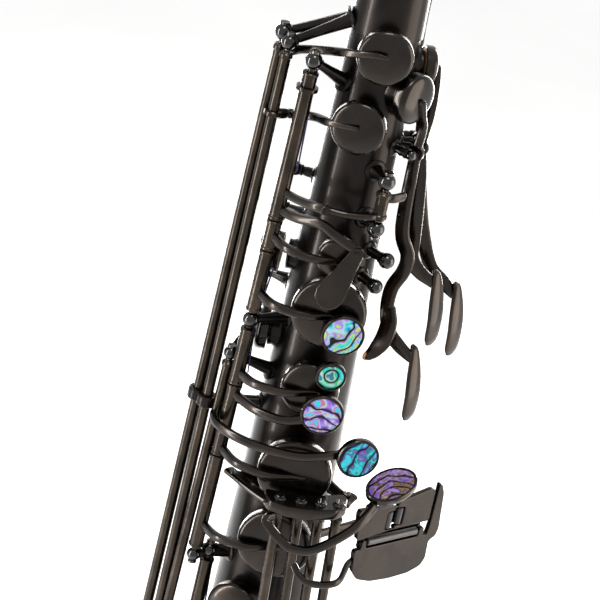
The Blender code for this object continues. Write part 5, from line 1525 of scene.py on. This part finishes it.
def make_palm_keys():
    """The left palm's three keys."""
    make_palm_key("palm_d_key", "palm_d", [(15.8, 68, 501), (15.8, 60, 505)],
                  [(15.4, 494), (16.5, 472.9), (19.7, 465.7), (19.6, 460.9), (17.5, 455.1),
                   (17.5, 449), (19.3, 443.1), (23.1, 439.7), (27.6, 437.4)], 69.5,
                  [(18.2, 69, 449.5), (19.2, 67, 445.4), (19.9, 60, 441.6), (19.8, 52, 438.8),
                   (19.0, 47, 436.8)])
    make_palm_key("palm_eb_key", "palm_eb", [(16.0, 89, 503), (15.8, 96, 510)],
                  [(15.4, 494), (17.2, 484), (19.2, 468), (19.8, 462.8), (22.6, 459.3),
                   (27.4, 456.8)], 86.5)
    make_palm_key("palm_f_key", "palm_f", [(15.6, 117, 500), (15.4, 133, 507), (15.0, 141, 516),
                                           (14.8, 143, 530)],
                  [(15.4, 494), (17.6, 484), (21.5, 470), (26, 459), (30.5, 454.6),
                   (34.4, 451.4)], 99.0)


def make_high_f_lever():
    """The short lever that lets the front F touch open the palm F key."""
    key = Key("high_f_lever", "high_f_lever")
    key.rod(477.4, 485.3, 1.7 * MM)
    key.arm([mm(6, -17.6, 478.6), mm(0, -19.4, 478.6), mm(-5.4, -19.6, 478.9)], 478.6, 1.7, 1.6)
    key.arm([mm(11.4, -13.4, 483.4), mm(13.6, -10.8, 483.4)], 483.4, 2.4, 1.6)
    key.build()


# --- the left little finger's table ---------------------------------------------------------------

TABLE_ANGLE = 41.0
TABLE_DISTANCE = 28.2
TABLE_ROD_TOP = 392.6
PLATE_THICKNESS = 1.6 * MM
BRACKET_HEIGHT = 394.6
# The bracket's edge: distance to the bore in mm and angle.
BRACKET_RIM = (
    (26.3, -12), (29.6, -7), (30.9, 3), (31.2, 16), (30.9, 29), (29.4, 36), (26.2, 42), (23.4, 42),
    (22.9, 34), (22.9, 22), (22.9, 8), (22.9, -6), (23.6, -13),
)
# The two braces from the lip to the body's feet: distance in mm, angle and height.
BRACKET_BRACES = (
    ((27.2, -9, 395.0), (25.8, -16, 395.1), (24.5, -26, 395.4), (23.9, -36, 395.8),
     (23.9, -43, 396.0)),
    ((26.6, 38, 394.8), (25.2, 43, 395.0), (24.4, 49, 395.4)),
)


def table_point(along, height, distance=TABLE_DISTANCE):
    """A point by its place along the table's face, its height and its distance to the bore."""
    base = outward(TABLE_ANGLE) * distance + sideways(TABLE_ANGLE) * along
    return (base + Vector((0, 0, height))) * MM


def make_bracket():
    """The plate that carries the upper pivots of the four table keys, with its screws."""
    outline = [(radius * sin(radians(angle)), -radius * cos(radians(angle)))
               for radius, angle in BRACKET_RIM]
    lip = plate(outline, 3.2 * MM, Matrix.Translation(mm(0, 0, BRACKET_HEIGHT)), 1.0, 0.5 * MM)
    braces = [bar([polar(*point) for point in path], 3.6, 1.5, facing=UP)
              for path in BRACKET_BRACES]
    stand_in("table_bracket", [lip] + braces, "key_lacquer")
    screws = []
    bosses = []
    for name in ("g_sharp", "low_bb", "low_b", "low_c_sharp"):
        top = HINGES[name].at(BRACKET_HEIGHT)
        bosses.append(cylinder(top, top + mm(0, 0, 2.1), 1.7 * MM, sides=32, edge=0.3 * MM))
        screws += slotted_head(top + mm(0, 0, 2.0), UP, 1.25 * MM, 0.7 * MM)
    for angle, _, _ in BRACKET_FEET:
        top = polar(BRACKET_SCREW_REACH, angle, BRACKET_HEIGHT + 1.6)
        screws += slotted_head(top, UP, 1.1 * MM)
    piece("bracket_bosses", bosses, "post_gloss", "instrument")
    piece("bracket_screws", screws, "screw_steel", "instrument")


TABLE_ROLLERS = (
    # name, ends in (along, height), radius
    ("c_sharp_roller", (15.2, 384.9), (15.2, 390.5), 1.0),
    ("low_b_roller", (18.7, 385.7), (18.7, 391.1), 1.0),
    ("low_bb_roller", (9.0, 381.5), (27.0, 381.5), 1.15),
)


def make_roller(name, start, end, radius):
    """A roller with eased ends, and the steel pin it turns on."""
    stand_in(name, [cylinder(start, end, radius, sides=32, edge=0.25 * MM)], "roller_black")
    reach = (end - start).normalized() * 1.1 * MM
    piece(name + ".pin", [cylinder(start - reach, end + reach, 0.4 * MM, sides=16)],
          "screw_steel", BODY_OF[name])


def touch_plate(outline):
    """One of the table's plates: its outline is along the table and up, in millimetres."""
    return plate(outline, PLATE_THICKNESS, facing_out(TABLE_DISTANCE, TABLE_ANGLE, 0), 0.9,
                 0.4 * MM)


def roller_bed(left, right, low, high):
    """The thin floor behind a roller's slot, between these places on the table's face."""
    outline = [(left, low), (right, low), (right, high), (left, high)]
    behind = facing_out(TABLE_DISTANCE - 1.7, TABLE_ANGLE, 0)
    return plate(outline, 0.8 * MM, behind, 0.4, 0.2 * MM)


def make_table_keys():
    """G sharp, low C sharp, low B and low B flat keys with their long rods."""
    g_sharp = Key("g_sharp_key", "g_sharp")
    g_sharp.rod(340.8, TABLE_ROD_TOP, THIN_ROD_RADIUS)
    g_sharp.cup("g_sharp")
    g_sharp.arm([mm(-2.6, -24.6, 351.4), mm(-7.6, -19.2, 351.1)], 352.0, [2.4, 2.2, 1.4],
                [2.2, 2.0, 1.0])
    g_sharp.arm([mm(-3.4, -29.8, 390.4), mm(-0.4, -31.2, 387.6), mm(3.2, -31.9, 385.2),
                 mm(5.4, -32.0, 384.6), mm(9.4, -31.7, 384.7), mm(13.6, -30.9, 387.0),
                 mm(19.4, -28.4, 391.4), mm(22.6, -25.4, 394.6), mm(24.8, -21.2, 396.6)], 391.0,
                2.6, 1.7, facing=(0.25, -1, 0))
    normal = Vector((-0.12, -0.30, 0.95))
    place = axes_matrix(mm(28.6, -14.8, 399.0), normal, Vector((-0.66, 0.75, 0)))
    stretch = place @ Matrix.Diagonal((1.35, 0.92, 1.0, 1.0))
    g_sharp.pearl_holder("pearl_g_sharp", stretch, 5.2 * MM)
    g_sharp.metal.append(bar([mm(23.4, -22.0, 396.2), mm(28.4, -15.0, 399.3)], 2.0, 1.6,
                             facing=UP))
    g_sharp.build()

    c_sharp = Key("low_c_sharp_key", "low_c_sharp")
    c_sharp.rod(116.7, TABLE_ROD_TOP, THIN_ROD_RADIUS)
    c_sharp.cup("low_c_sharp")
    c_sharp.arm([mm(22, -21.2, 121.2), mm(16.6, -24.2, 122), mm(11.2, -27.4, 123),
                 mm(0.5, -27.2, 123.8)], 120.6, [2.6, 2.4, 2.4, 2.2, 1.2],
                [2.4, 2.2, 2.2, 1.8, 0.9])
    plate_1 = [(3.6, 393.2), (3.2, 392), (4.6, 383.6), (5.2, 383.2), (16.5, 384.4), (16.5, 384.6),
               (13.9, 384.6), (13.9, 390.8), (16.5, 390.8), (16.3, 392.3)]
    c_sharp.metal.append(touch_plate(plate_1))
    c_sharp.arm([table_point(0.5, 388.0), table_point(5.0, 388.0)], 388.0, 3.0, 1.4)
    c_sharp.build()

    low_b = Key("low_b_key", "low_b")
    low_b.rod(80.7, TABLE_ROD_TOP, THIN_ROD_RADIUS)
    low_b.cup("low_b")
    low_b.cup_arm("low_b", 84.5, 2.4, 2.8, 2.5)
    plate_2 = [(17.1, 393.4), (28.8, 395.6), (30.2, 394.8), (30.4, 385.0), (29.8, 384.4),
               (17.3, 384.2), (17.3, 385.4), (20.0, 385.4), (20.0, 391.4), (17.1, 391.4)]
    low_b.arm([table_point(-5.5, 384.6, 24.2), table_point(4, 385.0, 24.0),
               table_point(16, 386.0, 24.4), table_point(20, 386.6, 26.4),
               table_point(23, 387.0, 27.8)], 384.6, 2.6, 1.4, standing=True)
    low_b.standing.append(touch_plate(plate_2))
    low_b.standing.append(roller_bed(16.4, 21.0, 385.0, 390.5))
    low_b.build()

    low_bb = Key("low_bb_key", "low_bb")
    low_bb.rod(48.7, TABLE_ROD_TOP, THIN_ROD_RADIUS)
    low_bb.cup("low_bb")
    low_bb.cup_arm("low_bb", 52.5, 2.4, 2.8, 2.5)
    plate_3 = [(4.6, 379.8), (5.4, 373.0), (8.0, 369.4), (13.0, 367.6), (20.0, 367.0),
               (27.0, 367.3), (31.4, 368.8), (32.8, 371.2), (32.4, 377.2), (34.6, 378.4),
               (35.2, 381.0), (33.8, 393.0), (32.4, 396.2), (31.2, 396.6), (31.2, 383.0),
               (30.8, 379.8), (29.4, 379.8), (29.4, 382.6), (27.5, 382.6), (27.5, 379.8),
               (8.5, 379.8), (8.5, 382.4), (6.8, 382.4), (6.8, 379.8)]
    low_bb.arm([mm(9.0, -28.8, 374.4), mm(13.0, -29.4, 373.2), mm(19.4, -27.2, 374.0),
                table_point(4.2, 375.4), table_point(8.5, 375.8)], 376.8, 2.0, 1.4,
               facing=(0.2, -1, 0), standing=True)
    low_bb.standing.append(touch_plate(plate_3))
    low_bb.standing.append(roller_bed(7.2, 29.6, 379.0, 382.9))
    low_bb.build()

    for name, start, end, radius in TABLE_ROLLERS:
        make_roller(name, table_point(*start), table_point(*end), radius * MM)


# --- the right little finger's keys ---------------------------------------------------------------

LOW_TOUCH_ANGLE = -27.0
LOW_TOUCH_DISTANCE = 29.0
LOW_TOUCH_WIDTH = 13.0
LOW_EB_TOUCH_HEIGHT = 200.0
LOW_C_TOUCH_HEIGHT = 187.6
LOW_ROLLER_OFFSET = 4.3


def low_touch(outline, height):
    """A low key's plate, its outline across and up from this height, in millimetres."""
    place = facing_out(LOW_TOUCH_DISTANCE, LOW_TOUCH_ANGLE, height)
    return plate(outline, 1.8 * MM, place, 1.0, 0.45 * MM)


def make_low_keys():
    """Low E flat and low C keys with the rollers between their touches."""
    half = LOW_TOUCH_WIDTH / 2
    eb = Key("low_eb_key", "low_keys")
    eb.rod(177.2, 203.8, STOUT_ROD_RADIUS)
    eb.cup("low_eb")
    eb.arm([mm(-27.4, -11, 190.4), mm(-28.0, -4, 191.6), mm(-25.2, 3.2, 193.0)], 189.6,
           [2.6, 2.4, 2.2, 1.2], [2.4, 2.2, 1.9, 1.0])
    tongue = [(-half, -5.0), (-half + 1.6, -5.0), (-half + 1.6, -2.9), (half - 1.6, -2.9),
              (half - 1.6, -5.0), (half, -5.0), (half, 3.0), (half - 3, 6.5), (-half + 3, 6.5),
              (-half, 3.0)]
    eb.metal.append(low_touch(tongue, LOW_EB_TOUCH_HEIGHT))
    eb.arm([mm(-20.5, -21.0, 200), mm(-15.8, -25.2, 200.4)], 200.0, 3, 1.4)
    eb.build()

    low_c = Key("low_c_key", "low_keys")
    low_c.rod(146.7, 176.8, STOUT_ROD_RADIUS)
    low_c.cup("low_c")
    low_c.cup_arm("low_c", 160.0, 2.4, 2.8, 2.5)
    paddle = [(-half, 5.0), (-half + 1.6, 5.0), (-half + 1.6, 2.9), (half - 1.6, 2.9),
              (half - 1.6, 5.0), (half, 5.0), (half, -4.0), (half - 3, -8.0), (-half + 3, -8.0),
              (-half, -4.0)]
    low_c.metal.append(low_touch(paddle, LOW_C_TOUCH_HEIGHT))
    low_c.arm([mm(-21.5, -21.8, 174), mm(-17.5, -25.2, 178.6), mm(-15.4, -25.6, 183.4)], 173.0,
              3, 1.4)
    low_c.build()

    reach = half - 1.9
    for name, height, rest in (
            ("low_eb_roller", LOW_EB_TOUCH_HEIGHT - LOW_ROLLER_OFFSET, eb.rest),
            ("low_c_roller", LOW_C_TOUCH_HEIGHT + LOW_ROLLER_OFFSET, low_c.rest)):
        place = rest @ facing_out(LOW_TOUCH_DISTANCE, LOW_TOUCH_ANGLE, height)
        make_roller(name, place @ mm(-reach, 0, 0), place @ mm(reach, 0, 0), 1.1 * MM)


# --- the octave mechanism -------------------------------------------------------------------------

def make_octave_keys():
    """The thumb's octave lever and the two vent keys at the back."""
    lever = Key("octave_lever", "octave_lever")
    _, y, z = OCTAVE_PIVOT
    lever.rods.append(cylinder(lever.hinge.lower, lever.hinge.upper, 1.9 * MM, sides=32))
    lever.metal.append(bar([mm(0, y + 2.2, z + 15), mm(0, y + 0.6, z + 7), mm(0, y, z),
                            mm(0, y + 0.6, z - 8), mm(0, y + 2.6, z - 17)], 1.9, 3.0,
                           facing=RIGHT))
    lever.metal.append(bar([mm(0, y + 1.4, z - 14), mm(0, y + 2.8, z - 18), mm(0, y + 3.3, z - 23),
                            mm(0, y + 3.2, z - 28), mm(0, y + 2.4, z - 34)],
                           [6, 11, 12.4, 11.6, 7], 1.8, facing=BACK, square=2.4, sides=28))
    lever.build()

    seats = (("body_octave_key", "body_octave", BODY_OCTAVE_PIVOT, BODY_PIP,
              skin_radius(BODY_PIP * MM) + 2.3 * MM, 9),
             ("neck_octave_key", "neck_octave", NECK_OCTAVE_PIVOT, NECK_PIP, 9.3 * MM, 12))
    for name, hinge, pivot, height, seat, tail in seats:
        key = Key(name, hinge)
        _, y, z = pivot
        key.rods.append(cylinder(key.hinge.lower, key.hinge.upper, 1.6 * MM, sides=32))
        key.metal.append(bar([mm(0, y + 2.0, z - tail), mm(0, y + 0.5, z - tail / 2), mm(0, y, z),
                              mm(0, y + 1.0, (z + height) / 2), mm(0, seat / MM + 1.7, height)],
                             1.8, 2.6, facing=RIGHT))
        place = axes_matrix(Vector((0, seat + 0.1 * MM, height * MM)), BACK)
        cap = scaled([(0, 0.5), (2.9, 0.5), (2.9, 1.4), (2.6, 1.8), (2.0, 2.05), (0, 2.1)])
        key.metal.append(turned(cap, 40, place))
        key.pads.append(turned(scaled([(0, 0), (2.5, 0), (2.6, 0.5), (0, 0.5)]), 40, place))
        key.build()


# --- the studio -----------------------------------------------------------------------------------

CAMERA_TARGET = mm(-7.0, 0.0, 442.8)
CAMERA_DISTANCE = 0.5921
CAMERA_ELEVATION = 25.5
CAMERA_ROLL = -12.187
CAMERA_LENS = 130.2


def make_camera():
    """The camera, looking down at the upper stack with the instrument leaning to the right."""
    tilt, roll = radians(CAMERA_ELEVATION), radians(CAMERA_ROLL)
    rise = Vector((0, sin(tilt), cos(tilt)))
    back = Vector((0, -cos(tilt), sin(tilt)))
    right = RIGHT * cos(roll) - rise * sin(roll)
    up = RIGHT * sin(roll) + rise * cos(roll)
    camera = bpy.data.cameras.new("camera")
    camera.lens = CAMERA_LENS
    camera.sensor_width = 36
    camera.clip_start = 0.01
    item = placed("camera", camera)
    place = Matrix((right, up, back)).transposed().to_4x4()
    place.translation = CAMERA_TARGET + back * CAMERA_DISTANCE
    item.matrix_world = place
    bpy.context.scene.camera = item


# Soft boxes: angle from the front in degrees, distance and height in metres, size in metres,
# brightness and colour. All face the middle of the keywork, this high in metres.
AIM_HEIGHT = 0.42
SOFT_BOXES = (
    (-64, 0.80, 0.42, (0.10, 1.05), 30.0, (1.0, 1.0, 1.0)),
    (84, 1.05, 0.45, (0.70, 1.10), 5.0, (1.0, 0.90, 0.80)),
    (10, 0.50, 1.75, (0.50, 0.45), 13.0, (1.0, 1.0, 1.0)),
    (-150, 0.95, 0.45, (0.14, 1.20), 20.0, (1.0, 1.0, 1.0)),
    (152, 0.95, 0.45, (0.14, 1.20), 20.0, (1.0, 0.96, 0.92)),
)


FLOOR_REACH = 6.0
SURROUND_STRENGTH = 0.98


def make_studio():
    """A wide pale floor, soft boxes either side and an even pale surround."""
    bm = bmesh.new()
    bmesh.ops.create_grid(bm, x_segments=8, y_segments=8, size=FLOOR_REACH)
    mesh = bpy.data.meshes.new("floor")
    bm.to_mesh(mesh)
    bm.free()
    mesh.materials.append(FINISHES["studio_floor"])
    floor = placed("floor", mesh)

    for index, (angle, distance, height, size, brightness, colour) in enumerate(SOFT_BOXES):
        lamp = bpy.data.lights.new(f"soft_box_{index}", "AREA")
        lamp.shape = "RECTANGLE"
        lamp.size, lamp.size_y = size
        lamp.energy = brightness * pi * size[0] * size[1]
        lamp.color = colour
        item = placed(lamp.name, lamp)
        item.location = outward(angle) * distance + UP * height
        aim = UP * AIM_HEIGHT - item.location
        item.rotation_euler = aim.to_track_quat("-Z", "Y").to_euler()
        item.visible_camera = False

    world = bpy.data.worlds.new("surround")
    world.use_nodes = True
    backdrop = world.node_tree.nodes["Background"]
    backdrop.inputs["Color"].default_value = (1.0, 1.0, 1.0, 1.0)
    backdrop.inputs["Strength"].default_value = SURROUND_STRENGTH
    bpy.context.scene.world = world
    bpy.context.scene.view_settings.view_transform = "Standard"


def build():
    """Make every piece, then the studio."""
    make_body()
    make_bell()
    make_neck()
    make_mouthpiece()
    make_back_fittings()
    make_hinge_rods()
    make_upper_stack()
    make_lower_stack()
    make_side_keys()
    make_palm_keys()
    make_high_f_lever()
    make_bracket()
    make_table_keys()
    make_low_keys()
    make_octave_keys()
    make_camera()
    make_studio()


build()
